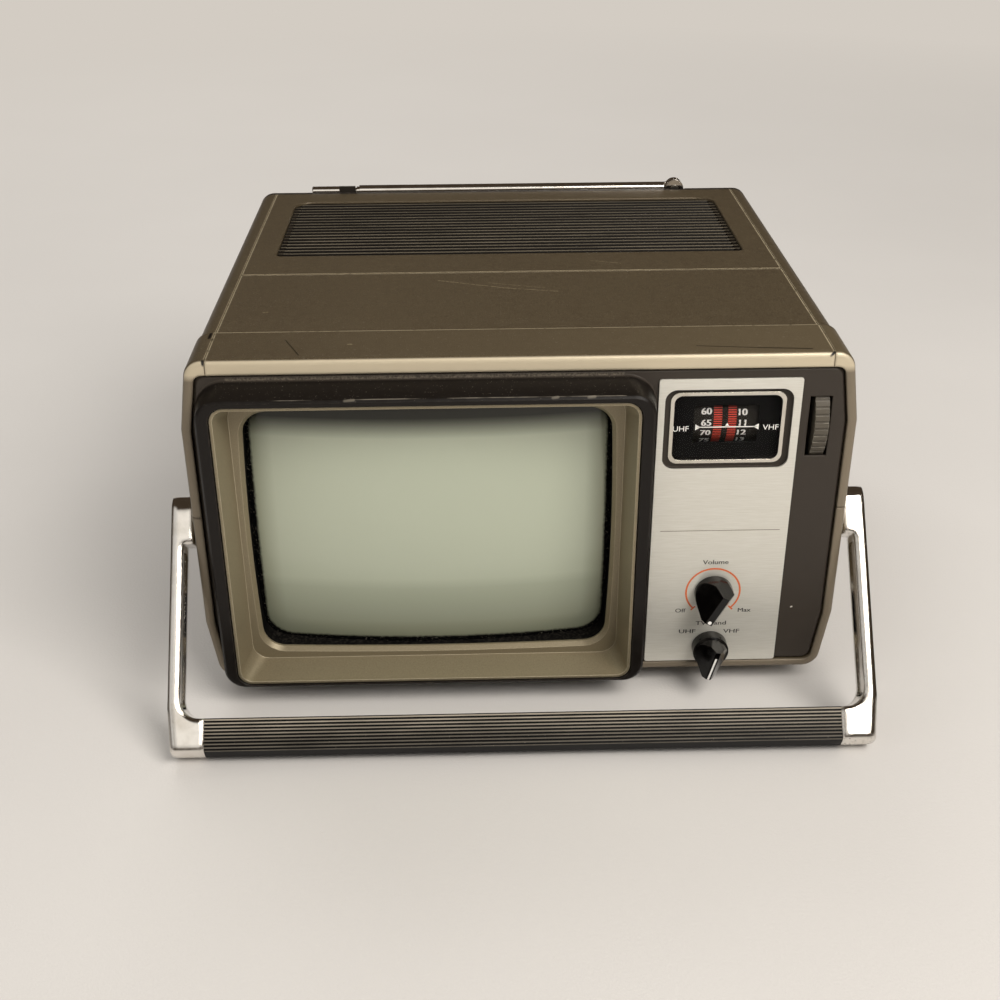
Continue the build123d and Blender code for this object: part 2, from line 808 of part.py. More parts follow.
with BuildPart() as front_panel:
    plate = cabinet_section(panel_back, panel_side, panel_top, panel_low, panel_radius)
    extrude(plate, amount=panel_thickness - panel_soft)
    soft = panel_soft
    add(cabinet_section(panel_recess + soft, panel_side, panel_top, panel_low, panel_radius))
    add(cabinet_section(panel_recess, panel_side + soft, panel_top + soft, panel_low + soft, panel_radius))
    loft(ruled=True)
    # hood: from the panel out to its rim, its roof falling as a visor
    rim_x = lip_x + hood_rim_side
    rim_high = lip_z + hood_rim_top
    rim_low = -lip_z - hood_rim_bottom
    base_x = rim_x + hood_base_grow
    base_low = rim_low + hood_base_rise
    edge = 1.0
    add(screen_outline(panel_recess + edge, base_x, rim_high + visor_fall, hood_radius + 4, 0, base_low))
    add(screen_outline(edge - hood_reach, rim_x, rim_high, hood_radius, 0, rim_low))
    loft(ruled=True)
    add(screen_outline(edge - hood_reach, rim_x, rim_high, hood_radius, 0, rim_low))
    add(screen_outline(-hood_reach, rim_x - edge, rim_high - edge, hood_radius - edge, 0, rim_low + edge))
    loft(ruled=True)
    # room for the mask
    room = mask_wall + fit_gap
    add(screen_outline(-hood_reach - 0.1, *mask_half(-hood_reach, room), lip_radius + room))
    add(screen_outline(panel_back + 0.1, *mask_half(panel_back, room), step_radius + room))
    loft(ruled=True, mode=Mode.SUBTRACT)
    # recess and window of the dial
    with BuildSketch(across(dial_floor_back)):
        with Locations((dial_x, dial_z)):
            RectangleRounded(dial_width, dial_height, dial_radius)
    extrude(amount=5, mode=Mode.SUBTRACT)
    with BuildSketch(across(panel_back + 1)):
        with Locations((dial_x, dial_z)):
            RectangleRounded(dial_frame_width - 1, dial_frame_height - 1, dial_radius - 2)
        # slot of the tuning wheel
        with Locations((slot_x, tuning_z)):
            Rectangle(slot_width, slot_height)
        # holes of the two knobs
        with Locations((knob_x, volume_z), (knob_x, band_z)):
            Circle(bushing_radius + fit_gap)
    extrude(amount=panel_back + 2, mode=Mode.SUBTRACT)
    with BuildSketch(across(panel_back + 1)):
        with Locations((slot_x, tuning_z)):
            Rectangle(slot_width + 2 * slot_room, 2 * wheel_radius)
    extrude(amount=1 + panel_thickness - slot_skin, mode=Mode.SUBTRACT)
    # posts that carry the picture tube
    ear_x = clear_x + tube_margin + ear_reach
    ear_z = clear_z - ear_inset
    ear_places = [(screen_x + i * ear_x, screen_z + j * ear_z) for i in (-1, 1) for j in (-1, 1)]
    ear_back = 22.0
    with BuildSketch(across(ear_back)):
        with Locations(*ear_places):
            Circle(post_radius)
            Circle(screw_radius + screw_play, mode=Mode.SUBTRACT)
    extrude(amount=ear_back - panel_recess - 1)
write(front_panel, "front_panel")

with BuildPart() as screen_mask:
    # flared wall and the flange behind the panel
    add(screen_outline(lip_back, *mask_half(lip_back, mask_wall), lip_radius + mask_wall))
    add(screen_outline(panel_back, *mask_half(panel_back, mask_wall), step_radius + mask_wall))
    loft(ruled=True)
    flange_grow = mask_wall + mask_flange
    flange = screen_outline(panel_back, *mask_half(panel_back, flange_grow), step_radius + flange_grow)
    extrude(flange, amount=panel_back - mask_end_back)
    # inside of the flare, down to the step
    add(screen_outline(lip_back - 0.1, *mask_half(lip_back, 0), lip_radius))
    add(screen_outline(mask_step_back, step_x, step_z, step_radius))
    loft(ruled=True, mode=Mode.SUBTRACT)
    # the opening, its front edge bevelled
    lead_radius = screen_radius + mask_lead
    add(screen_outline(mask_step_back, clear_x + mask_lead, clear_z + mask_lead, lead_radius, screen_bow))
    opening = screen_outline(mask_end_back - 1, clear_x, clear_z, screen_radius, screen_bow)
    add(opening)
    loft(ruled=True, mode=Mode.SUBTRACT)
    extrude(opening, amount=-2, mode=Mode.SUBTRACT)
write(screen_mask, "screen_mask")

with BuildPart() as control_plate:
    with BuildSketch(across(panel_recess)):
        plate_width = plate_right - plate_left
        plate_height = plate_bottom_drop - plate_drop
        with Locations(((plate_left + plate_right) / 2, below_top((plate_drop + plate_bottom_drop) / 2))):
            RectangleRounded(plate_width, plate_height, 1.0)
        with Locations((dial_x, dial_z)):
            RectangleRounded(dial_width, dial_height, dial_radius, mode=Mode.SUBTRACT)
        with Locations((knob_x, volume_z), (knob_x, band_z)):
            Circle(bushing_radius + fit_gap, mode=Mode.SUBTRACT)
    extrude(amount=plate_thickness)
write(control_plate, "control_plate")

# ---------------------------------------------------------------- tuning dial

frame_front = plate_face + dial_frame_back
view_x = dial_frame_width - 2 * dial_frame_band
view_z = dial_frame_height - 2 * dial_frame_band
card_back = panel_back + 1.0
card_rear = card_back + card_sheet
inner_radius = dial_radius - dial_frame_band

with BuildPart() as dial_frame:
    with BuildSketch(across(dial_floor_back)):
        with Locations((dial_x, dial_z)):
            RectangleRounded(dial_frame_width, dial_frame_height, dial_radius - 1)
    extrude(amount=dial_floor_back - frame_front)
    with BuildSketch(across(card_back)):
        with Locations((dial_x, dial_z)):
            sleeve = 1 + 2 * fit_gap
            RectangleRounded(dial_frame_width - sleeve, dial_frame_height - sleeve, dial_radius - 2)
    extrude(amount=card_back - dial_floor_back)
    with BuildSketch(across(card_back)):
        with Locations((dial_x, dial_z)):
            RectangleRounded(view_x, view_z, inner_radius)
    extrude(amount=card_back, mode=Mode.SUBTRACT)
write(dial_frame, "dial_frame")

with BuildPart() as dial_window:
    with BuildSketch(across(card_back)):
        with Locations((dial_x, dial_z)):
            RectangleRounded(view_x - window_play, view_z - window_play, inner_radius)
    extrude(amount=card_back - frame_front - window_sunk)
write(dial_window, "dial_window")

with BuildPart() as dial_card:
    with BuildSketch(across(card_rear)):
        with Locations((dial_x, dial_z)):
            Rectangle(dial_frame_width + card_margin[0], dial_frame_height + card_margin[1])
        with Locations((dial_x, tuning_z)):
            Rectangle(dial_view_width, dial_view_height, mode=Mode.SUBTRACT)
    extrude(amount=card_sheet)
write(dial_card, "dial_card")

drum_left = dial_x - drum_width / 2
drum_right = dial_x + drum_width / 2
left_ear = drum_left - drum_play - bracket_sheet
right_ear = drum_right + drum_play
tuning_axis = (depth(tuning_axis_back), tuning_z)
bracket_back = tuning_axis_back + drum_radius + 2 + bracket_sheet


def turned(x_from, x_to, radius, mode=Mode.ADD):
    """Disc or shaft on the axis of the tuning drum."""
    with BuildSketch(upright(x_from)) as disc:
        with Locations(tuning_axis):
            Circle(radius)
    extrude(disc.sketch, amount=x_to - x_from, mode=mode)


with BuildPart() as dial_drum:
    turned(drum_left, drum_right, drum_radius)
    turned(drum_left, drum_right - drum_web, drum_radius - drum_wall, Mode.SUBTRACT)
    turned(drum_left, drum_right, wheel_hub_radius)
    turned(drum_left, drum_right, shaft_radius, Mode.SUBTRACT)
write(dial_drum, "dial_drum")

with BuildPart() as tuning_shaft:
    turned(left_ear - 1.5, wheel_x + wheel_width / 2 + 1, shaft_radius)
write(tuning_shaft, "tuning_shaft")

with BuildPart() as tuning_wheel:
    turned(wheel_x - wheel_width / 2, wheel_x + wheel_width / 2, wheel_radius)
    with BuildSketch(upright(wheel_x - wheel_width / 2)):
        with Locations(tuning_axis):
            with PolarLocations(wheel_radius, wheel_ribs):
                Rectangle(2 * wheel_notch_depth, wheel_notch)
    extrude(amount=wheel_width, mode=Mode.SUBTRACT)
    turned(right_ear + bracket_sheet + 0.5, wheel_x, wheel_hub_radius)
    turned(right_ear, wheel_x + wheel_width, shaft_radius, Mode.SUBTRACT)
write(tuning_wheel, "tuning_wheel")

with BuildPart() as dial_bracket:
    # two ears joined behind the drum, their front ends against the card
    for ear_from in (left_ear, right_ear):
        with BuildSketch(upright(ear_from)):
            with Locations((depth((card_rear + bracket_back) / 2), tuning_z)):
                Rectangle(bracket_back - card_rear, bracket_height)
            with Locations(tuning_axis):
                Circle(shaft_radius + run_gap, mode=Mode.SUBTRACT)
        extrude(amount=bracket_sheet)
    with BuildSketch(across(bracket_back)):
        with Locations(((left_ear + right_ear + bracket_sheet) / 2, tuning_z)):
            Rectangle(right_ear + bracket_sheet - left_ear, bracket_height)
    extrude(amount=bracket_sheet)
write(dial_bracket, "dial_bracket")

with BuildPart() as tuner:
    with BuildSketch(across(bracket_back + tuner_length)):
        with Locations((dial_x, tuning_z)):
            Rectangle(tuner_width, tuner_height)
    extrude(amount=tuner_length)
    with BuildSketch(across(bracket_back + tuner_length + tuner_coil_length)):
        with Locations((dial_x - tuner_coil_x, tuning_z), (dial_x + tuner_coil_x, tuning_z)):
            Circle(tuner_coil_radius)
    extrude(amount=tuner_coil_length)
write(tuner, "tuner")

# ---------------------------------------------------------------- volume and band controls


def knob_plane(z, lift, turn):
    """Plane in front of the control plate whose local -Y runs along the knob's pointer."""
    lean = radians(turn)
    origin = (knob_x, depth(plate_face - knob_stand - lift), z)
    return Plane(origin=origin, x_dir=(cos(lean), 0, -sin(lean)), z_dir=(0, -1, 0))


def drop_shape(plane, heel_y, heel, toe_y, toe):
    """Two circles on the pointer's line, the heel and the toe, wrapped by their tangents."""
    lean = asin((heel - toe) / (heel_y - toe_y))
    a, b = cos(lean), sin(lean)
    with BuildSketch(plane) as drop:
        with BuildLine():
            for i in (1, -1):
                Line((i * heel * a, heel_y - heel * b), (i * toe * a, toe_y - toe * b))
            ThreePointArc((heel * a, heel_y - heel * b), (0, heel_y + heel), (-heel * a, heel_y - heel * b))
            ThreePointArc((toe * a, toe_y - toe * b), (0, toe_y - toe), (-toe * a, toe_y - toe * b))
        make_face()
    return drop.sketch


def pointer_knob(z, turn, collar, collar_height, foot, ridge):
    """Collar of the given outline, and a drop-shaped grip cut by planes that meet in a ridge."""
    foot_plane = knob_plane(z, 0, turn)
    lengthwise = Plane(origin=foot_plane.origin, x_dir=foot_plane.y_dir, z_dir=foot_plane.x_dir)
    crosswise = Plane(origin=foot_plane.origin, x_dir=foot_plane.x_dir, z_dir=-foot_plane.y_dir)
    with BuildPart() as knob:
        extrude(drop_shape(foot_plane, 0, foot, knob_toe - knob_tip, knob_toe), amount=knob_height)
        # two flanks fall from the ridge to the foot
        with BuildSketch(crosswise) as flanks:
            Polygon(
                (foot + 1, 0), (foot, collar_height), (ridge / 2, knob_height),
                (-ridge / 2, knob_height), (-foot, collar_height), (-foot - 1, 0), align=None,
            )
        extrude(flanks.sketch, amount=2 * knob_tip, both=True, mode=Mode.INTERSECT)
        # heel and toe fall from the ends of the ridge
        with BuildSketch(lengthwise) as fall:
            Polygon(
                (foot + 1, 0), (foot, collar_height), (knob_ridge_heel, knob_height),
                (-knob_ridge_tip, knob_height), (-knob_tip, 0), align=None,
            )
        extrude(fall.sketch, amount=2 * knob_tip, both=True, mode=Mode.INTERSECT)
        extrude(collar, amount=collar_height)
        with BuildSketch(foot_plane) as bore:
            Circle(knob_shaft_radius + run_gap)
        extrude(bore.sketch, amount=knob_bore, mode=Mode.SUBTRACT)
    return knob


def knob_shaft(z, back_end_of_shaft):
    """Shaft from inside its control to the bottom of the bore in the knob."""
    with BuildPart() as shaft:
        with BuildSketch(across(back_end_of_shaft)) as section:
            with Locations((knob_x, z)):
                Circle(knob_shaft_radius)
        extrude(section.sketch, amount=back_end_of_shaft - plate_face + knob_stand + knob_bore)
    return shaft


def control_body(z, body, length):
    """Body of a control behind the panel, with the bushing that passes through the panel."""
    with BuildPart() as control:
        extrude(body, amount=length)
        with BuildSketch(across(panel_back)) as bushing:
            with Locations((knob_x, z)):
                Circle(bushing_radius)
        extrude(bushing.sketch, amount=panel_back - plate_face)
        with BuildSketch(across(panel_back + length - 2)) as bore:
            with Locations((knob_x, z)):
                Circle(knob_shaft_radius + run_gap)
        extrude(bore.sketch, amount=length + panel_back, mode=Mode.SUBTRACT)
    return control


volume_foot = knob_plane(volume_z, 0, volume_off_angle)
drop_collar = drop_shape(volume_foot, 0, knob_radius, knob_toe - knob_tip, knob_toe)
volume_knob = pointer_knob(volume_z, volume_off_angle, drop_collar, volume_collar, knob_radius, volume_ridge)
write(volume_knob, "volume_knob")
volume_shaft = knob_shaft(volume_z, panel_back + pot_length - bushing_reach)
write(volume_shaft, "volume_shaft")
with BuildSketch(across(panel_back + pot_length)) as pot_section:
    with Locations((knob_x, volume_z)):
        Circle(pot_radius)
volume_control = control_body(volume_z, pot_section.sketch, pot_length)

with BuildSketch(knob_plane(band_z, 0, band_angle)) as round_collar:
    Circle(band_collar_radius)
band_foot = band_collar_radius - band_step
band_knob = pointer_knob(band_z, band_angle, round_collar.sketch, band_collar, band_foot, band_ridge)
write(band_knob, "band_knob")
band_shaft = knob_shaft(band_z, panel_back + switch_length - bushing_reach)
write(band_shaft, "band_shaft")
with BuildSketch(across(panel_back + switch_length)) as switch_section:
    with Locations((knob_x, band_z)):
        RectangleRounded(switch_width, switch_height, 1.5)
band_switch = control_body(band_z, switch_section.sketch, switch_length)
with BuildPart() as front_controls:
    add(volume_control.part)
    add(band_switch.part)
write(front_controls, "front_controls")

# ---------------------------------------------------------------- carrying handle

swing = radians(handle_sag)
# plane of the bail at rest: local x is X, local -y leads from the pivots to the grip
bail = Plane(
    origin=(0, depth(pivot_back), pivot_z),
    x_dir=(1, 0, 0),
    z_dir=(0, -sin(swing), cos(swing)),
)
half_arm = arm_width / 2
outer_x = handle_width / 2
arm_x = outer_x - arm_thickness
hub_x = half_width + washer_thickness + hub_play
grip_x = grip_length / 2


def bail_side(x):
    """Plane parallel to the sides whose local x runs from pivot to grip and local y across the arm."""
    along = (0, -cos(swing), -sin(swing))
    return Plane(origin=(x, depth(pivot_back), pivot_z), x_dir=along, z_dir=(-1, 0, 0))


def arm_profile(plane):
    """Side view of arm and grip: round at the pivot, its back drawn up and its front bevelled."""
    with BuildSketch(plane) as profile:
        with BuildLine():
            Polyline(
                (0, half_arm),
                (arm_reach - grip_bevel, half_arm),
                (arm_reach, grip_edge),
                (arm_reach, -grip_back),
                (arm_taper_end, -grip_back),
                (arm_taper_start, -half_arm),
                (0, -half_arm),
            )
            ThreePointArc((0, -half_arm), (-half_arm, 0), (0, half_arm))
        make_face()
    return profile.sketch


with BuildPart() as handle_arm_right:
    with BuildSketch(bail) as outline:
        with BuildLine():
            Polyline(
                (hub_x, half_arm + 1),
                (outer_x, half_arm + 1),
                (outer_x, -arm_taper_start),
                (outer_x - corner_pull, -arm_reach),
                (grip_x, -arm_reach),
                (grip_x, -grip_inner),
                (arm_x, -grip_inner),
                (arm_x, -hub_length),
                (hub_x, -hub_length),
                close=True,
            )
        make_face()
        inner_line = outline.vertices().filter_by(lambda v: abs(v.X - arm_x) < 0.01)
        fillet(inner_line.sort_by(Axis.Y)[0], inner_corner)
        far_line = outline.vertices().group_by(Axis.Y)[0]
        fillet(far_line.sort_by(Axis.X)[-1], outer_corner)
    extrude(amount=arm_width, both=True)
    extrude(arm_profile(bail_side(outer_x + 1)), amount=outer_x, mode=Mode.INTERSECT)
    # shallow channel along the inner face
    with BuildSketch(bail_side(arm_x + channel_depth)):
        with Locations(((channel_start + channel_end) / 2, 0)):
            RectangleRounded(channel_end - channel_start, arm_width - 2 * channel_lip, 2)
    extrude(amount=channel_depth + 1, mode=Mode.SUBTRACT)
    # tenon that enters the grip
    with BuildSketch(bail_side(grip_x)):
        with Locations(((grip_inner + arm_reach - grip_bevel) / 2, (half_arm - grip_back) / 2)):
            RectangleRounded(tenon_width, tenon_height, 1)
    extrude(amount=tenon_length)
    # blind bore for the pivot
    with BuildSketch(upright(hub_x)):
        with Locations(pivot_place):
            Circle(pivot_radius + run_gap)
    extrude(amount=hub_bore, mode=Mode.SUBTRACT)
write(handle_arm_right, "handle_arm_right")

with BuildPart() as handle_arm_left:
    add(mirror(handle_arm_right.part, about=Plane.YZ, mode=Mode.PRIVATE))
write(handle_arm_left, "handle_arm_left")

with BuildPart() as handle_grip:
    extrude(arm_profile(bail_side(grip_x)), amount=grip_length)
    with BuildSketch(bail_side(grip_x)):
        with Locations((0, 0)):
            Rectangle(2 * grip_inner, 3 * arm_width)
    extrude(amount=grip_length, mode=Mode.SUBTRACT)
    # grooves along the upper face
    with BuildSketch(bail_side(grip_x)):
        for i in range(grip_grooves):
            with Locations((grip_inner + (i + 1) * groove_pitch, half_arm)):
                Rectangle(groove_pitch * groove_share, groove_share * 2 * groove_pitch)
    extrude(amount=grip_length, mode=Mode.SUBTRACT)
    # pockets for the tenons
    for x in (grip_x, tenon_length - grip_x):
        with BuildSketch(bail_side(x)):
            with Locations(((grip_inner + arm_reach - grip_bevel) / 2, (half_arm - grip_back) / 2)):
                RectangleRounded(tenon_width + 0.2, tenon_height + 0.2, 1.1)
        extrude(amount=tenon_length, mode=Mode.SUBTRACT)
write(handle_grip, "handle_grip")

inner_wall_x = half_width - cabinet_wall - nose_step
with BuildPart() as handle_pivots:
    with BuildSketch(upright(inner_wall_x)):
        with Locations(pivot_place):
            Circle(pivot_radius)
    extrude(amount=hub_x + hub_bore - 0.3 - inner_wall_x)
    with BuildSketch(upright(inner_wall_x)):
        with Locations(pivot_place):
            Circle(2 * pivot_radius)
    extrude(amount=-pivot_head)
    mirror(about=Plane.YZ)
write(handle_pivots, "handle_pivots")

with BuildPart() as handle_washers:
    with BuildSketch(upright(half_width)):
        with Locations(pivot_place):
            Circle(washer_radius)
            Circle(pivot_radius + 0.1, mode=Mode.SUBTRACT)
    extrude(amount=washer_thickness)
    mirror(about=Plane.YZ)
write(handle_washers, "handle_washers")

# ---------------------------------------------------------------- telescopic rod

hinge_z = below_top(rod_drop)
rod_y = depth(rod_back)
half_tongue = tongue_thickness / 2
half_fork = half_tongue + 0.1 + ear_thickness
socket_top = below_top(turret_top_drop) - turret_disc - 0.1

with BuildPart() as antenna_socket:
    with BuildSketch(Plane.XY.offset(below_top(socket_bottom_drop))):
        with Locations((rod_x, rod_y)):
            Circle(socket_radius)
    extrude(amount=socket_top - below_top(socket_bottom_drop))
    with BuildSketch(Plane.XY.offset(socket_top)):
        with Locations((rod_x, rod_y)):
            Circle(turret_spigot + run_gap)
    extrude(amount=-turret_spigot_length - 0.3, mode=Mode.SUBTRACT)
write(antenna_socket, "antenna_socket")

with BuildPart() as antenna_turret:
    with BuildSketch(Plane.XY.offset(socket_top + 0.1)):
        with Locations((rod_x, rod_y)):
            Circle(turret_radius)
    extrude(amount=turret_disc)
    with BuildSketch(Plane.XY.offset(socket_top + 0.1)):
        with Locations((rod_x, rod_y)):
            Circle(turret_spigot)
    extrude(amount=-turret_spigot_length)
    # fork
    with BuildSketch(across(rod_back)):
        with Locations((rod_x, hinge_z)):
            Circle(knuckle_radius)
        with Locations((rod_x, (hinge_z + below_top(turret_top_drop)) / 2)):
            Rectangle(2 * knuckle_radius * 0.94, hinge_z - below_top(turret_top_drop) + 0.2)
    extrude(amount=half_fork, both=True)
    with BuildSketch(across(rod_back)):
        with Locations((rod_x, hinge_z + knuckle_radius)):
            Rectangle(4 * knuckle_radius, 2 * (knuckle_radius + hinge_z - below_top(turret_top_drop)))
    extrude(amount=half_tongue + 0.1, both=True, mode=Mode.SUBTRACT)
    with BuildSketch(across(rod_back)):
        with Locations((rod_x, hinge_z)):
            Circle(hinge_pin_radius)
    extrude(amount=half_fork, both=True, mode=Mode.SUBTRACT)
write(antenna_turret, "antenna_turret")

with BuildPart() as antenna_hinge_pin:
    with BuildSketch(across(rod_back)):
        with Locations((rod_x, hinge_z)):
            Circle(hinge_pin_radius)
    extrude(amount=half_fork, both=True)
    for face_back, outward in ((rod_back - half_fork, 1), (rod_back + half_fork, -1)):
        with BuildSketch(across(face_back)):
            with Locations((rod_x, hinge_z)):
                Circle(hinge_pin_radius + 0.9)
        extrude(amount=outward * 0.7)
write(antenna_hinge_pin, "antenna_hinge_pin")

rod_start = rod_x - rod_root


def rod_piece(x_from, x_to, radius, bore=0.0):
    """Length of rod between two places on its axis, hollow where a bore is given."""
    with BuildSketch(upright(x_to)) as section:
        with Locations((rod_y, hinge_z)):
            Circle(radius)
            if bore:
                Circle(bore, mode=Mode.SUBTRACT)
    extrude(section.sketch, amount=x_from - x_to)


with BuildPart() as antenna_tube_1:
    # flat tongue between the ears, then a solid root, then the tube
    with BuildSketch(across(rod_back)):
        with Locations((rod_x, hinge_z)):
            Circle(knuckle_radius)
        with Locations((rod_x - rod_root / 2 - 0.5, hinge_z)):
            Rectangle(rod_root + 1, 2 * rod_radii[0] - 0.4)
    extrude(amount=half_tongue, both=True)
    rod_piece(rod_start, rod_start - rod_plug, rod_radii[0])
    rod_piece(rod_start - rod_plug, rod_start - rod_length, rod_radii[0], rod_radii[1] + rod_run_gap)
    with BuildSketch(across(rod_back)):
        with Locations((rod_x, hinge_z)):
            Circle(hinge_pin_radius + run_gap)
    extrude(amount=half_tongue + 1, both=True, mode=Mode.SUBTRACT)
write(antenna_tube_1, "antenna_tube_1")

stage_end = rod_start - rod_length
for stage in (1, 2):
    stage_root = rod_start - stage * (rod_plug + rod_stagger)
    stage_end -= rod_shows
    with BuildPart() as antenna_tube:
        rod_piece(stage_root, stage_root - rod_plug, rod_radii[stage])
        rod_piece(stage_root - rod_plug, stage_end, rod_radii[stage], rod_radii[stage + 1] + rod_run_gap)
    write(antenna_tube, f"antenna_tube_{stage + 1}")

with BuildPart() as antenna_tube_4:
    # thin last stage with the tip crimped on it
    tip_start = stage_end - rod_neck
    rod_piece(rod_start - 3 * (rod_plug + rod_stagger), tip_start, rod_radii[3])
    rod_piece(tip_start, tip_start - rod_tip_length, rod_tip_radius)
    fillet(antenna_tube_4.edges().sort_by(Axis.X)[0], 0.8)
write(antenna_tube_4, "antenna_tube_4")

with BuildPart() as antenna_clip:
    clip_x = (clip_left + clip_right) / 2
    clip_low = hinge_z - rod_tip_radius - 0.4
    with BuildSketch(Plane.XY.offset(clip_low)):
        with Locations((clip_x, (depth(plate_end) + rod_y + 2) / 2)):
            Rectangle(clip_right - clip_left, rod_y + 2 - depth(plate_end))
    extrude(amount=-clip_sheet)
    with BuildSketch(Plane.XY.offset(below_top(clip_top_drop))):
        with Locations((clip_x, depth(plate_end) + clip_sheet / 2)):
            Rectangle(clip_right - clip_left, clip_sheet)
    extrude(amount=clip_low - clip_sheet - clip_foot - below_top(clip_top_drop))
write(antenna_clip, "antenna_clip")

# ---------------------------------------------------------------- picture tube and what it carries

glass_x = clear_x + tube_margin
glass_z = clear_z + tube_margin
glass_radius = screen_radius + tube_margin
gasket_end = tube_skirt_back - 12.0


def face_ball(radius):
    """Private sphere through the middle of the faceplate, or a little in front of it."""
    return Pos(screen_x, depth(tube_recess) + tube_radius, screen_z) * Sphere(radius, mode=Mode.PRIVATE)


with BuildPart() as picture_tube:
    skirt = screen_outline(tube_skirt_back, glass_x, glass_z, glass_radius)
    extrude(skirt, amount=tube_skirt_back - tube_recess + 1)
    add(face_ball(tube_radius), mode=Mode.INTERSECT)
    add(skirt)
    add(screen_outline(tube_funnel_back, tube_funnel_radius, tube_funnel_radius, tube_funnel_radius - 1))
    loft(ruled=True)
    with BuildSketch(across(tube_end_back)):
        with Locations((screen_x, screen_z)):
            Circle(tube_neck_radius)
    extrude(amount=tube_end_back - tube_funnel_back + 1)
write(picture_tube, "picture_tube")

with BuildPart() as tube_gasket:
    extrude(screen_outline(gasket_end, glass_x, glass_z, glass_radius), amount=gasket_end - mask_end_back)
    grow = gasket_lip
    hole = screen_outline(gasket_end, clear_x + grow, clear_z + grow, screen_radius + grow, screen_bow)
    extrude(hole, amount=gasket_end, mode=Mode.SUBTRACT)
    add(face_ball(tube_radius + 0.1), mode=Mode.SUBTRACT)
write(tube_gasket, "tube_gasket")

with BuildPart() as tube_band:
    grow = band_sheet + fit_gap
    hoop = screen_outline(tube_skirt_back - 1, glass_x + grow, glass_z + grow, glass_radius + grow)
    extrude(hoop, amount=tube_skirt_back - 1 - ear_back)
    # ears over the posts
    with BuildSketch(across(ear_back + ear_sheet)):
        with Locations(*ear_places):
            Circle(ear_radius)
        for i in (-1, 1):
            with Locations(*[(screen_x + i * (ear_x + glass_x) / 2, screen_z + j * ear_z) for j in (-1, 1)]):
                Rectangle(ear_x - glass_x, 2 * ear_radius)
    extrude(amount=ear_sheet)
    grow = fit_gap
    hole = screen_outline(tube_skirt_back, glass_x + grow, glass_z + grow, glass_radius + grow)
    extrude(hole, amount=tube_skirt_back, mode=Mode.SUBTRACT)
    with BuildSketch(across(tube_skirt_back)):
        with Locations(*ear_places):
            Circle(screw_radius + screw_play)
    extrude(amount=tube_skirt_back, mode=Mode.SUBTRACT)
write(tube_band, "tube_band")

neck_line = Plane(origin=(screen_x, depth(0), screen_z), x_dir=(0, 1, 0), z_dir=(1, 0, 0))
with BuildPart() as deflection_yoke:
    # windings flare towards the funnel
    with BuildSketch(neck_line):
        with BuildLine():
            Polyline(
                (tube_funnel_back + fit_gap, tube_neck_radius + fit_gap),
                (tube_funnel_back + fit_gap, yoke_front_radius),
                (tube_funnel_back + yoke_length, yoke_back_radius),
                (tube_funnel_back + yoke_length, tube_neck_radius + fit_gap),
                close=True,
            )
        make_face()
    revolve(axis=Axis((screen_x, 0, screen_z), (0, 1, 0)))
write(deflection_yoke, "deflection_yoke")

with BuildPart() as neck_board:
    # the socket on the tube's base, and the board soldered to it
    with BuildSketch(across(tube_end_back + 2)):
        with Locations((screen_x, screen_z)):
            Circle(tube_neck_radius + socket_wall)
    extrude(amount=socket_length)
    with BuildSketch(across(tube_end_back)):
        with Locations((screen_x, screen_z)):
            Circle(tube_neck_radius + 0.2)
    extrude(amount=socket_length, mode=Mode.SUBTRACT)
    with BuildSketch(across(tube_end_back + 2 + board_sheet)):
        with Locations((screen_x, screen_z)):
            RectangleRounded(neck_board_size, neck_board_size, 2)
    extrude(amount=board_sheet)
write(neck_board, "neck_board")

# ---------------------------------------------------------------- chassis

board_top = board_z + board_sheet
with BuildPart() as chassis_board:
    with BuildSketch(Plane.XY.offset(board_z)):
        with Locations((board_x, depth(board_back))):
            Rectangle(board_width, board_length)
        with Locations(*board_posts):
            Circle(screw_radius + screw_play, mode=Mode.SUBTRACT)
    extrude(amount=board_sheet)
write(chassis_board, "chassis_board")

with BuildPart() as chassis_screws:
    # four hold the tube's band to the panel, four the board to the cover
    for plane, places, grip in (
        (across(ear_back + ear_sheet), ear_places, ear_screw_length),
        (Plane.XY.offset(board_top), board_posts, board_sheet),
    ):
        ahead = 1 if grip > board_sheet else -1
        with BuildSketch(plane):
            with Locations(*places):
                Circle(screw_radius)
        extrude(amount=ahead * grip)
        with BuildSketch(plane):
            with Locations(*places):
                RegularPolygon(2 * screw_radius, 6)
        extrude(amount=-ahead * screw_head_height)
write(chassis_screws, "chassis_screws")

with BuildPart() as board_capacitors:
    for x, share, radius, height in capacitors:
        with BuildSketch(Plane.XY.offset(board_top)):
            with Locations((board_x + x, depth(share * cabinet_depth))):
                Circle(radius)
        extrude(amount=height)
write(board_capacitors, "board_capacitors")

with BuildPart() as flyback_transformer:
    with BuildSketch(Plane.XY.offset(board_top)):
        with Locations((flyback_x, depth(flyback_back))):
            Rectangle(*flyback_size)
    extrude(amount=flyback_height)
    with BuildSketch(Plane.XY.offset(board_top + flyback_height)):
        with Locations((flyback_x, depth(flyback_back))):
            Circle(flyback_cap_radius)
    extrude(amount=flyback_cap_height)
write(flyback_transformer, "flyback_transformer")

with BuildPart() as heat_sink:
    with BuildSketch(Plane.XY.offset(board_top)):
        with Locations((board_x, depth(sink_back))):
            Rectangle(sink_width, sink_plate)
            with GridLocations(sink_fin_pitch, 1, sink_fins, 1):
                Rectangle(sink_fin_sheet, sink_fin_depth)
    extrude(amount=sink_height)
write(heat_sink, "heat_sink")

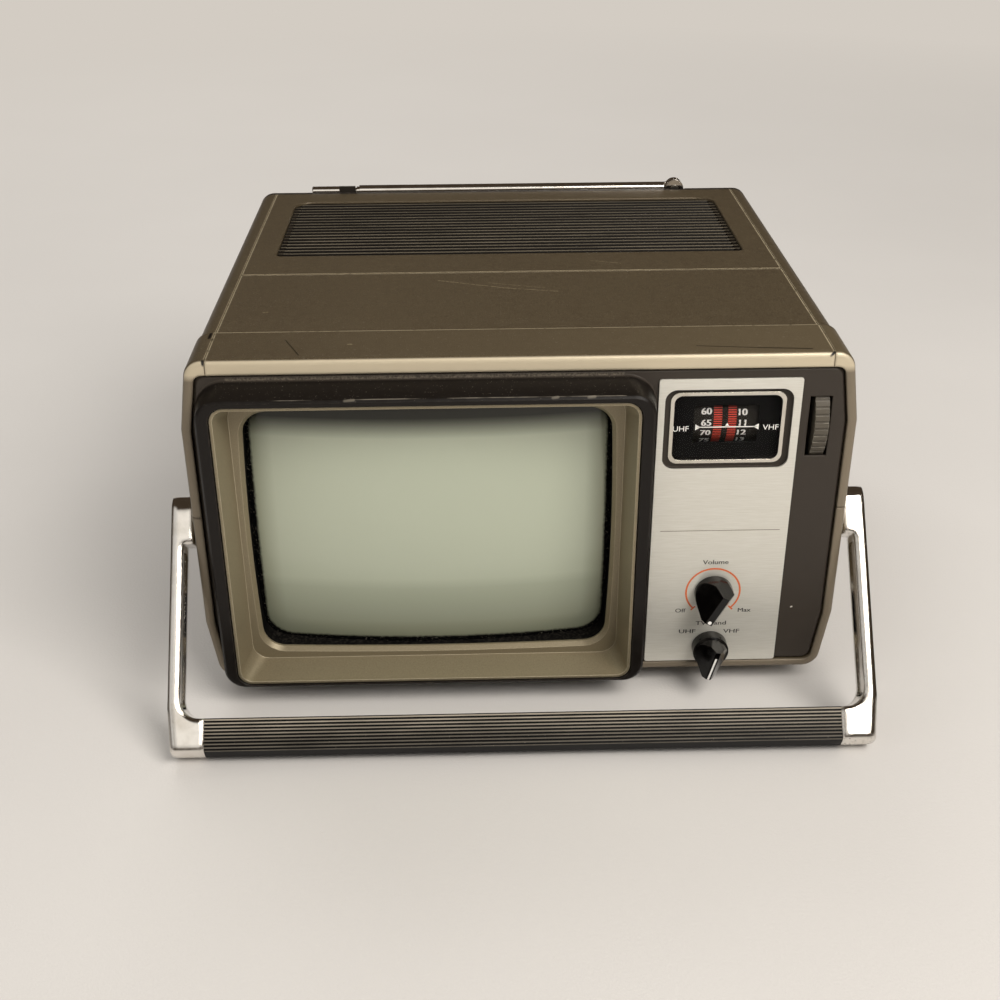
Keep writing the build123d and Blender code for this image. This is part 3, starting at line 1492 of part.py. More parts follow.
with BuildPart() as power_transformer:
    # laminated core on the floor, with the winding across it
    floor_z = bottom_z + nose_step + cabinet_wall
    with BuildSketch(Plane.XY.offset(floor_z)):
        with Locations((power_x, depth(power_back))):
            Rectangle(core_size[0], core_size[1])
    extrude(amount=core_size[2])
    with BuildSketch(Plane.XY.offset(floor_z + (core_size[2] - winding_size[2]) / 2)):
        with Locations((power_x, depth(power_back))):
            Rectangle(winding_size[0], winding_size[1])
    extrude(amount=winding_size[2])
write(power_transformer, "power_transformer")

# speaker under the grille, facing up; its parts are turned about its own axis
speaker_place = roof.offset(-wall_below - grille_plate).from_local_coords((speaker_x, grille_middle, 0))
speaker_axis = Axis(speaker_place, roof.z_dir)
speaker_side = Plane(origin=speaker_place, x_dir=(1, 0, 0), z_dir=-roof.y_dir)
basket_radius = speaker_radius - speaker_rim
cone_radius = basket_radius - speaker_rim
cone_end = speaker_depth - speaker_wall

with BuildPart() as speaker_frame:
    # rim, basket and magnet
    with BuildSketch(speaker_side):
        with BuildLine():
            Polyline(
                (0, -cone_end), (magnet_radius - speaker_wall, -cone_end), (cone_radius + fit_gap, 0),
                (speaker_radius, 0), (speaker_radius, -speaker_sheet), (basket_radius, -speaker_sheet),
                (magnet_radius, -speaker_depth), (magnet_radius, -speaker_depth - magnet_height),
                (0, -speaker_depth - magnet_height), close=True,
            )
        make_face()
    revolve(axis=speaker_axis)
write(speaker_frame, "speaker_frame")

with BuildPart() as speaker_cone:
    # a thin cone inside the basket
    cone_floor = fit_gap - cone_end
    cone_root = magnet_radius - speaker_wall - cone_sheet
    cone_lip = cone_radius - fit_gap
    with BuildSketch(speaker_side):
        with BuildLine():
            Polyline(
                (0, cone_floor), (cone_root, cone_floor), (cone_lip, -fit_gap),
                (cone_lip - cone_sheet, -fit_gap), (cone_root - cone_sheet, cone_floor + cone_sheet),
                (0, cone_floor + cone_sheet), close=True,
            )
        make_face()
    revolve(axis=speaker_axis)
write(speaker_cone, "speaker_cone")
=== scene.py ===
"""Looks of a portable television with a seven-inch tube: finishes, printing, dial and studio.

Numbers are millimetres unless a comment says otherwise. A place is x, the distance behind the front face
and the drop below the top edge. The row frame has the set's front towards -Y and its right side at +X.
"""
import json
import math

import bmesh
import bpy
from mathutils import Matrix, Vector


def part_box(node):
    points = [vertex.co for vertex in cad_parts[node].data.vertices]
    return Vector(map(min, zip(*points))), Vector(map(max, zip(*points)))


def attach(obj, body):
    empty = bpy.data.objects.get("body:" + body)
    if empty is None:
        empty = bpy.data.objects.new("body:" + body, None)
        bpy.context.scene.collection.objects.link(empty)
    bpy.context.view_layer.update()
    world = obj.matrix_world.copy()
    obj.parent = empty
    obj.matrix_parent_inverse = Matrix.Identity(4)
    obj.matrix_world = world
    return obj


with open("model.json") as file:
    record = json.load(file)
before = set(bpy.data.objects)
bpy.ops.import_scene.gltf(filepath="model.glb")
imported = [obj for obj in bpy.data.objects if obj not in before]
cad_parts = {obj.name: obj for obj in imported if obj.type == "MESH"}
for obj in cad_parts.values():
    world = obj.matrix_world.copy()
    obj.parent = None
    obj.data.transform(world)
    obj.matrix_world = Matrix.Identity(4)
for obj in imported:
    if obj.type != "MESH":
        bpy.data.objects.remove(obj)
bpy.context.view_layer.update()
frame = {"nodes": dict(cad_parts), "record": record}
nodes = frame["nodes"]
MM = 0.001


# ---------------------------------------------------------------- places worked out from the frame

def middle(box):
    """The middle of a part's box."""
    low, high = box
    return (low + high) / 2


roof_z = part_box("side_cover_right")[1].z
face_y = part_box("control_plate")[0].y
seam_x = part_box("top_cover")[1].x / MM
screen = middle(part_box("screen_mask")) / MM
drum_low, drum_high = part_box("dial_drum")
drum_axis = (drum_low + drum_high) / 2
drum_radius = (drum_high.z - drum_low.z) / 2 / MM
handle_axis = middle(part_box("handle_pivots")) / MM
volume_axis = middle(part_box("volume_shaft"))
band_axis = middle(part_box("band_shaft"))

# sizes that the boxes don't give
nose_back = 30.5                # step between the nose and the rear cabinet, behind the face
groove_back = 107.4             # groove across the top
top_fall = 6.0 / 217.5          # how steeply the top falls behind the nose
hood_reach = 12.0               # how far the visor stands out in front of the face
hood_edge_drop = 12.7           # lower front edge of the visor, below the top
visor_half = 80                 # half its width
tube_half = (75.4, 57.4)        # half width and half height of the lit part of the screen
tube_corner = 11.0              # radius of its corners
handle_sag = math.radians(50.85)    # how far the handle hangs down from level
grip_rise = 6.75                # from the handle's axis out to the tops of the grip's ribs
grip_reach = 89.5               # from the handle's axis along the arms to the grip
grip_pitch = 1.45               # from rib to rib on the grip
grille_pitch = 5.06             # from rib to rib on the grille
grille_sink = 1.0               # how far the grille's ribs lie below the top
grille_shift = 0.5              # how far its middle line lies in front of its middle


def behind(back):
    """Y of a place so far behind the front face."""
    return face_y + back * MM


def below(drop):
    """Z of a place so far below the top edge."""
    return roof_z - drop * MM


def spot(x, back, drop):
    """A place in millimetres, as the shaders see it."""
    return (x, behind(back) / MM, below(drop) / MM)


# ---------------------------------------------------------------- shader tools

def linear(code):
    """The linear colour of an sRGB hex code."""
    parts = [int(code[i:i + 2], 16) / 255 for i in (0, 2, 4)]
    return [c / 12.92 if c <= 0.04045 else ((c + 0.055) / 1.055) ** 2.4 for c in parts] + [1.0]


def add(tree, kind, *inputs, out=0, **settings):
    """Adds one shader node with its settings and inputs, and gives one of its outputs.

    Inputs come in order or in one table by name; each is a link, a number, a place or an sRGB hex code.
    """
    node = tree.nodes.new("ShaderNode" + kind)
    for name, value in settings.items():
        setattr(node, name, value)
    table = dict(enumerate(inputs))
    if isinstance(table.get(0), dict):
        table = table[0]
    for socket, value in table.items():
        if isinstance(value, bpy.types.NodeSocket):
            tree.links.new(value, node.inputs[socket])
        else:
            node.inputs[socket].default_value = linear(value) if isinstance(value, str) else value
    return node.outputs[out] if node.outputs else None


def new_material(name):
    """An empty material with its tree, and the place on the object in millimetres."""
    material = bpy.data.materials.new(name)
    material.use_nodes = True
    tree = material.node_tree
    tree.nodes.clear()
    place = add(tree, "TexCoord", out="Object")
    return material, tree, add(tree, "VectorMath", {0: place, "Scale": 1 / MM}, operation="SCALE")


def close(tree, inputs):
    """Closes a material with one shader that has these inputs."""
    add(tree, "OutputMaterial", {"Surface": add(tree, "BsdfPrincipled", inputs)})


def either(tree, *masks):
    """The strongest of several masks."""
    found = masks[0]
    for other in masks[1:]:
        found = add(tree, "Math", found, other, operation="MAXIMUM")
    return found


def where_all(tree, *masks):
    """1 only where every one of several masks is 1."""
    found = masks[0]
    for other in masks[1:]:
        found = add(tree, "Math", found, other, operation="MULTIPLY")
    return found


def over(tree, base, *coats):
    """Lays coats over a base colour; a coat is where it lies, how much it hides there and its colour."""
    for where, share, colour in coats:
        hides = add(tree, "Math", where, share, operation="MULTIPLY")
        base = add(tree, "Mix", {0: hides, 6: base, 7: colour}, out=2, data_type="RGBA")
    return base


def patches(tree, place, size, low, high, detail=2, stretch=None):
    """Cloudy patches of about size: 0 where the noise is below low, 1 above high; stretch scales the axes."""
    if stretch:
        place = add(tree, "VectorMath", place, stretch, operation="MULTIPLY")
    noise = add(tree, "TexNoise", {"Vector": place, "Scale": 1 / size, "Detail": detail})
    return add(tree, "MapRange", noise, low, high)


def specks(tree, place, size, amount):
    """Scattered specks of about size; amount is the share of the surface they take."""
    return patches(tree, place, size, 0.72 - amount, 0.76 - amount, 1)


def skin(tree, place, size, depth, normal):
    """Normals of a rough skin with pits of about size and so deep."""
    noise = add(tree, "TexNoise", {"Vector": place, "Scale": 1 / size, "Detail": 2})
    return add(tree, "Bump", {"Height": noise, "Distance": depth * MM, "Strength": 1, "Normal": normal})


def soft_edges(tree, radius, samples=8):
    """Normals that round every sharp edge by radius, and where those edges are."""
    rounded = add(tree, "Bevel", {"Radius": radius * MM}, samples=samples)
    true = add(tree, "NewGeometry", out="Normal")
    lined = add(tree, "VectorMath", rounded, true, out="Value", operation="DOT_PRODUCT")
    return rounded, add(tree, "MapRange", lined, 0.98, 0.8)


def facing_up(tree):
    """1 on what lies level, where dust settles and hands rub."""
    normal = add(tree, "NewGeometry", out="Normal")
    return add(tree, "MapRange", add(tree, "SeparateXYZ", normal, out=2), 0.3, 0.95)


def near(tree, value, centre, far, close_by):
    """1 within close_by of a centre, 0 beyond far."""
    off = add(tree, "Math", value, centre, operation="SUBTRACT")
    return add(tree, "MapRange", add(tree, "Math", off, operation="ABSOLUTE"), far, close_by)


def mark(tree, place, start, end, width):
    """1 on a line between two places, 0 further from it than its width."""
    run = Vector(end) - Vector(start)
    away = add(tree, "VectorMath", place, start, operation="SUBTRACT")
    share = tuple(run / run.length_squared)
    along = add(tree, "VectorMath", away, share, out="Value", operation="DOT_PRODUCT")
    along = add(tree, "MapRange", along, 0, 1)
    foot = add(tree, "VectorMath", {0: tuple(run), "Scale": along}, operation="SCALE")
    gap = add(tree, "VectorMath", away, foot, out="Value", operation="DISTANCE")
    return add(tree, "MapRange", gap, width, width * 0.4)


def marks(tree, place, *lines):
    """1 on any of several lines; each is its start, its end and its width."""
    return either(tree, *[mark(tree, place, spot(*start), spot(*end), width) for start, end, width in lines])


# ---------------------------------------------------------------- finishes

dust_colour = "9a9184"
backdrop_colour = "d3ccc3"


def moulded(name, colour, worn, edge=0.4, roughness=0.42, edge_wear=0.4, dust=0.1, grit=0.35, depth=0.02,
            coat=0.0, shine=0.3):
    """Moulded plastic: an even fine grain, edges worn paler and dust on what faces up.

    The tool's grain is about a tenth of a millimetre; it is drawn at grit, three times as coarse, to show.
    Fingers rub patches of 4, dust gathers in clumps of 1.1 and the colour drifts over 45.
    """
    material, tree, place = new_material(name)
    normal, edges = soft_edges(tree, edge)
    rubbed = patches(tree, place, 4, 0.4, 0.62, 4)
    settled = where_all(tree, facing_up(tree), patches(tree, place, 1.1, 0.45, 0.8, 4))
    base = over(tree, colour,
                (patches(tree, place, 45, 0.3, 0.7), 0.18, "000000"),
                (where_all(tree, edges, rubbed), edge_wear, worn),
                (settled, dust, dust_colour))
    close(tree, {
        "Base Color": base, "IOR": 1.5, "Coat Weight": coat, "Specular IOR Level": shine,
        "Roughness": add(tree, "MapRange", {0: rubbed, 3: roughness - 0.05, 4: roughness + 0.07}),
        "Normal": skin(tree, place, grit, depth, normal)})
    return material


def plain_metal(name, colour, dull, roughness, edge=0.3, pits=0.0):
    """Plated or bare metal: clear reflections, clouded by tarnish in patches of 12 and by fine scratches."""
    material, tree, place = new_material(name)
    normal, _ = soft_edges(tree, edge, 16 if edge > 1 else 6)
    base = over(tree, colour, (patches(tree, place, 12, 0.5, 0.85, 4), 1, dull))
    # scratches of a few hundredths are drawn half a millimetre apart, so that they show
    fine = add(tree, "TexNoise", {"Vector": place, "Scale": 1 / 0.5, "Detail": 3})
    rough = add(tree, "MapRange", {0: fine, 3: roughness * 0.7, 4: roughness * 1.4})
    if pits:
        # corrosion pits gather where hands and damp cloth reach, low on the right-hand side
        low = add(tree, "MapRange", add(tree, "SeparateXYZ", place, out=2), 50, 8)
        right = add(tree, "MapRange", add(tree, "SeparateXYZ", place, out=0), 60, 130)
        pitted = where_all(tree, specks(tree, place, 0.7, 0.09), low, right, pits)
        base = over(tree, base, (pitted, 1, "5a5246"))
        rough = either(tree, rough, where_all(tree, pitted, 0.5))
    close(tree, {
        "Base Color": base, "Metallic": 1, "Roughness": rough,
        "Normal": add(tree, "Bump", {"Height": fine, "Distance": 0.002 * MM, "Strength": 1, "Normal": normal})})
    return material


def ink(name, colour):
    """Screen-printed ink: flat and matt, thinner in spots; the screen's mesh is 0.1, drawn at 0.6 to show."""
    material, tree, place = new_material(name)
    base = over(tree, colour, (patches(tree, place, 0.6, 0.3, 0.8), 0.15, "8a8378"))
    close(tree, {"Base Color": base, "Roughness": 0.5})
    return material


def metal_flakes(tree, place):
    """Aluminium flakes in paint; real ones are far below a tenth, drawn at half a millimetre to show."""
    return add(tree, "TexNoise", {"Vector": place, "Scale": 1 / 0.5, "Detail": 2})


def sprayed(tree, place, base, flakes, roughest, normal):
    """Closes a sprayed metallic paint: a satin glow over the flakes and a slight orange peel of 0.4."""
    close(tree, {
        "Base Color": base, "Metallic": 0.35, "IOR": 1.5,
        "Roughness": add(tree, "MapRange", {0: flakes, 3: 0.36, 4: roughest}),
        "Normal": skin(tree, place, 0.4, 0.012, normal)})


def bronze_paint():
    """Metallic bronze paint on ABS: dark seen flat, champagne on the front band, rubbed thin at seams; painted
    highlights and sheen.
    """
    material, tree, place = new_material("bronze_painted_abs")
    normal, _ = soft_edges(tree, 1.6)
    x, y, z = (add(tree, "SeparateXYZ", place, out=axis) for axis in (0, 1, 2))
    flakes = metal_flakes(tree, place)
    # the coat drifts in tone over 90 and carries a haze in patches of 3.5; a painted sheen makes the nose
    # paler than the rest, most towards the right
    nose = where_all(tree, add(tree, "MapRange", y, behind(nose_back) / MM, behind(nose_back - 2) / MM),
                     add(tree, "MapRange", x, -90, 110))
    body = over(tree, "453a2b",
                (patches(tree, place, 90, 0.3, 0.7), 1, "4c4130"),
                (patches(tree, place, 3.5, 0.3, 0.7, 5), 0.3, "655a46"),
                (add(tree, "MapRange", flakes, 0.35, 0.7), 0.3, "9a8a6c"),
                (nose, 0.45, "776a52"))
    # the front band carries a lighter coat; a painted highlight makes it lighter still along the top
    band = add(tree, "MapRange", y, behind(1.5) / MM, behind(0.7) / MM)
    high = add(tree, "MapRange", z, below(9) / MM, below(6) / MM)
    # pale lines along seams, groove and nose step, broken about every 2.5: partly paint rubbed through,
    # partly a painted highlight along these edges
    across = add(tree, "Math", x, operation="ABSOLUTE")
    seams = where_all(tree, near(tree, across, seam_x, 0.7, 0.35),
                      add(tree, "MapRange", z, below(12) / MM, below(10) / MM))
    steps = either(tree, *[near(tree, y, behind(back) / MM, 1.15, 0.75) for back in (nose_back, groove_back)])
    steps = where_all(tree, steps, add(tree, "MapRange", across, seam_x + 0.5, seam_x))
    worn = where_all(tree, either(tree, seams, steps), patches(tree, place, 2.5, 0.25, 0.45, 3),
                     facing_up(tree))
    # scratches: pale ones through the paint, dark ones where something rubbed off on it
    pale = marks(tree, place,
                 ((-34.6, 96.1, 2.6), (-4, 84.5, 2.3), 0.35), ((-4, 84.5, 2.3), (19.6, 78.9, 2.1), 0.3),
                 ((-12, 92, 2.5), (14, 84, 2.3), 0.2), ((38, 123, 3.4), (52, 118, 3.2), 0.25),
                 ((-70.2, 15.6, 0), (-68.6, 15.6, 0), 0.6), ((-110, 56, 1.5), (-108, 56.5, 1.5), 0.4))
    dark = marks(tree, place,
                 ((72, 8.9, 0), (96.4, 6.1, 0), 0.4), ((96.4, 6.1, 0), (118, 4.3, 0), 0.6),
                 ((-96.3, 20.7, 0), (-89.4, 5, 0), 0.35))
    # black notches where the seams meet the nose step and the front edge
    notches = marks(tree, place,
                    ((-seam_x - 1.6, nose_back - 1.5, 0.3), (-seam_x - 1.6, nose_back - 6.5, 0.2), 1.0),
                    ((seam_x + 2.5, nose_back + 1.5, 0.8), (seam_x + 5.5, nose_back - 1.5, 1.6), 0.9),
                    ((-seam_x - 0.8, 1.2, 0.3), (-seam_x - 0.6, -0.4, 1.8), 0.8),
                    ((seam_x, 1.2, 0.3), (seam_x - 1.6, -0.2, 1.4), 0.8))
    base = over(tree, body,
                (band, 1, over(tree, "7e7362", (high, 1, "cfc2a8"))),
                (worn, 0.9, "c9ba9b"),
                (where_all(tree, pale, patches(tree, place, 1.2, 0.35, 0.5)), 0.6, "b5a583"),
                (dark, 0.85, "120e0a"),
                (where_all(tree, facing_up(tree), specks(tree, place, 0.9, 0.02)), 0.3, "a39a89"),
                (notches, 1, "0f0c0a"))
    sprayed(tree, place, base, flakes, 0.46, normal)
    return material


def mask_paint():
    """Champagne metallic paint on ABS: satin, with bright lines where its edges catch the light."""
    material, tree, place = new_material("champagne_painted_abs")
    normal, edges = soft_edges(tree, 0.55)
    flakes = metal_flakes(tree, place)
    smear = marks(tree, place, ((-60.4, -8, 143.5), (-56.4, -8, 143.6), 0.7))
    base = over(tree, "82775f",
                (add(tree, "MapRange", flakes, 0.35, 0.7), 1, "8f846c"),
                (edges, 0.85, "d3c8ae"),
                (smear, 0.7, "2a241b"))
    sprayed(tree, place, base, flakes, 0.48, normal)
    return material


def hood_plastic():
    """Moulded satin ABS of panel and hood: black and soft, dust in its root, its front edge chipped."""
    material, tree, place = new_material("moulded_satin_abs")
    normal, edges = soft_edges(tree, 0.9)
    rubbed = patches(tree, place, 3, 0.42, 0.6, 4)
    # panel and hood are one moulding: the panel is painted a satin grey as a painted sheen, and the hood in
    # front of it is kept black as painted shade
    panel = add(tree, "MapRange", add(tree, "SeparateXYZ", place, out=1), behind(-1) / MM, behind(0) / MM)
    left, right = screen.x - visor_half, screen.x + visor_half
    # a thin line where the visor's lower edge is worn, broken every 6 or more, with a few chips
    edge_line = marks(tree, place, ((left, 1 - hood_reach, hood_edge_drop - 0.3),
                                    (right, 1 - hood_reach, hood_edge_drop - 0.3), 0.45))
    edge_line = where_all(tree, edge_line, patches(tree, place, 6, 0.45, 0.6, 3, (0.35, 1, 1)))
    chips = marks(tree, place, *[
        ((chip, 0.4 - hood_reach, hood_edge_drop), (chip + long, 0.9 - hood_reach, hood_edge_drop), 0.9)
        for chip, long in ((-70.5, 3.5), (12.3, 2), (26.6, 2.4))])
    # dust in the corner between hood and panel, in clumps of 0.8
    root = where_all(tree, marks(tree, place, ((left, 0.8, 8.4), (right, 0.8, 8.4), 1.1)),
                     patches(tree, place, 0.8, 0.38, 0.6, 4))
    fleck = marks(tree, place, ((120.6, 0.8, 122.8), (121.0, 0.8, 122.6), 0.45))
    base = over(tree, "16120f",
                (panel, 1, "3a342e"),
                (where_all(tree, edges, rubbed), 0.2, "7a7061"),
                (edge_line, 0.7, "a89f90"),
                (chips, 0.3, "a39a8a"),
                (root, 0.3, "8f8574"),
                (where_all(tree, facing_up(tree), specks(tree, place, 0.6, 0.01)), 0.3, dust_colour),
                (fleck, 1, "cfc8bb"))
    close(tree, {
        "Base Color": base, "IOR": 1.5, "Specular IOR Level": 0.22,
        "Roughness": add(tree, "MapRange", {0: rubbed, 3: 0.34, 4: 0.44}),
        "Normal": skin(tree, place, 0.35, 0.015, normal)})
    return material


def ribbed_black(name, rise, top, depth, across, first, pitch, line, tone, glint, rubbed=(1, 1)):
    """Black plastic ribs: a painted highlight line along each rib top, valleys dark and full of shade.

    rise is the direction in which the ribs stand up, to top; across is the direction over them, in which
    first is the place of one painted highlight line; line is half the width of those lines. rubbed is how
    bright those painted highlights are at the first one and 9 further on.
    """
    material, tree, place = new_material(name)
    normal, _ = soft_edges(tree, 0.2)
    out = add(tree, "VectorMath", place, rise, out="Value", operation="DOT_PRODUCT")
    crest = add(tree, "MapRange", out, top - depth, top - depth * 0.4)
    along = add(tree, "VectorMath", place, across, out="Value", operation="DOT_PRODUCT")
    turn = add(tree, "Math", along, first - pitch / 2, operation="SUBTRACT")
    turn = add(tree, "Math", turn, pitch, operation="FLOORED_MODULO")
    shining = near(tree, turn, pitch / 2, line, line * 0.5)
    # patches of 9 break up the painted highlight lines
    worn = add(tree, "MapRange", {0: patches(tree, place, 9, 0.3, 0.6, 4, (0.3, 1, 1)), 3: 0.6, 4: 1})
    # the painted highlight lines fade from the first rib over the next nine
    painted_highlight_fade = add(tree, "MapRange", {0: along, 1: first + 1, 2: first + 9, 3: rubbed[0], 4: rubbed[1]})
    base = over(tree, tone,
                (where_all(tree, crest, shining, worn, painted_highlight_fade), 1, glint),
                (where_all(tree, specks(tree, place, 0.7, 0.0), crest), 0.4, "8d8578"))
    close(tree, {"Base Color": base, "IOR": 1.5, "Specular IOR Level": 0.12, "Roughness": 0.4, "Normal": normal})
    return material


def brushed_aluminium():
    """Brushed aluminium sheet under lacquer: fine level lines that spread highlights up and down.

    The lines are a few hundredths apart and are drawn at 0.22, so that they show.
    """
    material, tree, place = new_material("brushed_aluminium")
    normal, _ = soft_edges(tree, 0.3)
    drawn = add(tree, "VectorMath", place, (0.03, 1, 1), operation="MULTIPLY")
    brush = add(tree, "TexNoise", {"Vector": drawn, "Scale": 1 / 0.22, "Detail": 3})
    streaks = add(tree, "MapRange", brush, 0.2, 0.8)
    close(tree, {
        "Base Color": over(tree, "d6d3c8", (streaks, 1, "e6e4dc")), "Metallic": 0.5,
        "Roughness": add(tree, "MapRange", {0: streaks, 3: 0.34, 4: 0.44}),
        "Normal": add(tree, "Bump", {"Height": brush, "Distance": 0.003 * MM, "Strength": 1, "Normal": normal})})
    return material


def screen_glass():
    """Pressed faceplate glass on grey-green phosphor: soft glow, painted shade and reflections, and a black
    border full of lint.
    """
    material, tree, place = new_material("pressed_faceplate_glass")
    flat = add(tree, "VectorMath", place, (screen.x, 0, screen.z), operation="SUBTRACT")
    flat = add(tree, "VectorMath", flat, (1, 0, 1), operation="MULTIPLY")
    high = add(tree, "SeparateXYZ", flat, out=2)
    # how far past the border of a rounded rectangle a place lies
    past = add(tree, "VectorMath", flat, operation="ABSOLUTE")
    past = add(tree, "VectorMath", past, (tube_half[0] - tube_corner, 0, tube_half[1] - tube_corner),
               operation="SUBTRACT")
    past = add(tree, "VectorMath", past, (0, 0, 0), operation="MAXIMUM")
    past = add(tree, "VectorMath", past, out="Value", operation="LENGTH")
    past = add(tree, "Math", past, tube_corner, operation="SUBTRACT")
    uneven = add(tree, "TexNoise", {"Vector": place, "Scale": 1 / 1.5, "Detail": 3})
    ragged = add(tree, "Math", past, add(tree, "MapRange", {0: uneven, 3: -0.5, 4: 0.5}), operation="ADD")
    lint = where_all(tree, specks(tree, place, 0.55, 0.07), add(tree, "MapRange", past, -1.2, 0.4))
    base = over(tree, "b6bca9",
                # painted shade darkens the phosphor over the last few millimetres; a painted reflection of the
                # surround's shade makes the glass darker low down, and a painted shadow and reflection of the
                # visor makes it black right under the visor
                (add(tree, "MapRange", past, -9, 0), 1, "999c87"),
                (add(tree, "MapRange", high, -25, -30), 0.22, "6f725e"),
                (add(tree, "MapRange", high, -29, -52), 0.45, "6f725e"),
                (add(tree, "MapRange", high, 43.5, 52.5), 0.95, "1a1913"),
                (add(tree, "MapRange", ragged, -0.6, 0.6), 1, "060606"),
                (lint, 0.45, "8a8577"))
    close(tree, {"Base Color": base, "Roughness": 0.18, "IOR": 1.52, "Specular IOR Level": 0.35})
    return material


def acrylic():
    """Polished acrylic dial window: one sharp reflection over the dial behind it."""
    material, tree, _ = new_material("polished_clear_acrylic")
    close(tree, {"Base Color": "0c0b0a", "Roughness": 0.03, "IOR": 1.49, "Alpha": 0.08})
    return material


def tablecloth():
    """Woven pale cotton: dull and soft. Its thread is 0.4, drawn at 1.2 to show; its tone drifts over 160."""
    material, tree, place = new_material("woven_pale_cotton")
    weave = add(tree, "TexNoise", {"Vector": place, "Scale": 1 / 1.2, "Detail": 2})
    cloth = add(tree, "BsdfPrincipled", {
        "Base Color": over(tree, "d1cecb", (patches(tree, place, 160, 0.3, 0.7), 1, "d4d1ce")), "Roughness": 0.9,
        "Normal": add(tree, "Bump", {"Height": weave, "Distance": 0.12 * MM, "Strength": 1})})
    # far from the set the cloth runs into the pale backdrop
    away = add(tree, "VectorMath", place, out="Value", operation="LENGTH")
    far = where_all(tree, add(tree, "MapRange", away, 450, 1500), add(tree, "LightPath", out="Is Camera Ray"))
    pale = add(tree, "Emission", {"Color": backdrop_colour})
    add(tree, "OutputMaterial", {"Surface": add(tree, "MixShader", far, cloth, pale)})
    return material


finishes = {
    "bronze_abs": bronze_paint(),
    "mask_abs": mask_paint(),
    "hood_abs": hood_plastic(),
    "brushed_plate": brushed_aluminium(),
    "tube_glass": screen_glass(),
    "dial_glass": acrylic(),
    # ABS of the back and the rear knobs: a dull black with corners rubbed grey and some dust
    "black_abs": moulded("moulded_black_abs", "2a2520", "857b6b", edge=0.35, edge_wear=0.7, dust=0.25),
    # phenolic resin of the sockets: hard, brown-black and a little sharper in its shine
    "black_phenolic": moulded("moulded_phenolic", "1b1714", "4a433a", edge=0.3, roughness=0.4),
    # ABS from a polished tool: knobs so black that only small sharp highlights show their form
    "knob_gloss": moulded("moulded_gloss_abs", "050404", "6d665c", edge=0.45, roughness=0.16, edge_wear=0.35,
                          dust=0.03, depth=0.003, coat=0.1, shine=0.3),
    # grey ABS of the tuning wheel: its teeth are rubbed pale by the thumb
    "wheel_abs": moulded("moulded_grey_abs", "5a544a", "a29b8d", edge=0.4, roughness=0.45, edge_wear=0.8),
    # ABS of the drum: matt and clean behind its window, so that the numbers stand out
    "drum_abs": moulded("moulded_drum_abs", "25211c", "3a352e", edge=0.2, roughness=0.5, dust=0.0, shine=0.2),
    # pressed card round the drum: the flattest black, which shows only its edge
    "dial_card": moulded("pressed_black_card", "050404", "121110", edge=0.1, roughness=0.6, dust=0.0, shine=0.15),
    # nylon of the washers: a soft milky ring
    "washer_nylon": moulded("moulded_white_nylon", "c9c2b4", "d8d2c5", edge=0.2, roughness=0.5),
    # vinyl of the grip's inside: softer than ABS, with a greasy sheen
    "grip_vinyl": moulded("moulded_grip_vinyl", "1f1b18", "8d8578", edge=0.3, roughness=0.34, edge_wear=0.75,
                          dust=0.12),
    # rubber of the feet and the gasket: swallows light
    "rubber": moulded("moulded_black_rubber", "060505", "3a352d", edge=0.3, roughness=0.7, edge_wear=0.3,
                      shine=0.08),
    # PVC sleeve shrunk round the capacitors: tight, smooth and blue
    "capacitor_sleeve": moulded("shrunk_blue_pvc", "2b4466", "5a6f8c", edge=0.2, roughness=0.35),
    # pressed phenolic paper of the boards: brown and flat with a faint sheen
    "circuit_board": moulded("pressed_phenolic_board", "8a6236", "a88558", edge=0.2, roughness=0.5),
    # pressed paper of the loudspeaker's cone: fibrous and matt
    "paper_cone": moulded("pressed_black_paper", "24211d", "3a362f", edge=0.2, roughness=0.8),
    # enamelled copper wire of the yoke: a dark red-brown gloss
    "copper_winding": plain_metal("enamelled_copper_wire", "a04e22", "7a3818", 0.35),
    # chrome plate of the arms: a mirror with broad bright edges, pitted low down
    "handle_chrome": plain_metal("polished_chrome_plate", "ebe7e1", "cfc8bd", 0.08, edge=4.5, pits=0.7),
    # drawn brass tube under chrome: long mirror streaks, a little softer
    "rod_chrome": plain_metal("drawn_chrome_tube", "ece7e0", "c5bdb2", 0.13, edge=0.2),
    # bright-dipped aluminium of the dial's rim: silver, softer than chrome
    "bright_frame": plain_metal("bright_dipped_aluminium", "d6d1c6", "bab4a6", 0.2, edge=0.4),
    # nickel plate of pins and terminals: warmer and duller than chrome
    "nickel": plain_metal("nickel_plate", "b9b2a4", "968f80", 0.25),
    # zinc-plated steel of screws and shafts: grey with a slight cloud
    "steel": plain_metal("zinc_plated_steel", "a8a49b", "857f73", 0.3),
    # rolled zinc-coated sheet of cans and brackets: a dull even grey
    "zinc_sheet": plain_metal("rolled_zinc_sheet", "a9a79f", "8c897f", 0.4),
    # rolled silicon steel of the transformer's core: dark and oily
    "core_steel": plain_metal("rolled_core_steel", "5b5750", "4a463f", 0.5),
    # black anodised aluminium of the heat sink: dark and satin
    "heat_sink": plain_metal("anodised_aluminium", "2b2a28", "3a3835", 0.5),
}


def finish_part(node, finish):
    """Gives every slot of a part one finish."""
    slots = nodes[node].data.materials
    for index in range(len(slots)):
        slots[index] = finish


for part in frame["record"]["subparts"]:
    finish_part(part["node"], finishes[part["material_slot"]])

# vinyl moulded with fine grooves: black with a bundle of thin bright lines, painted highlights along the rib tops
grip_rise_way = Vector((0, -math.sin(handle_sag), math.cos(handle_sag)))
grip_down = Vector((0, -math.cos(handle_sag), -math.sin(handle_sag)))
finish_part("handle_grip", ribbed_black(
    "grooved_grip_vinyl", tuple(grip_rise_way), handle_axis.dot(grip_rise_way) + grip_rise, 0.5,
    tuple(grip_down), handle_axis.dot(grip_down) + grip_reach + grip_pitch / 2, grip_pitch, 0.38,
    "080706", "a89f90", rubbed=(1, 0.3)))
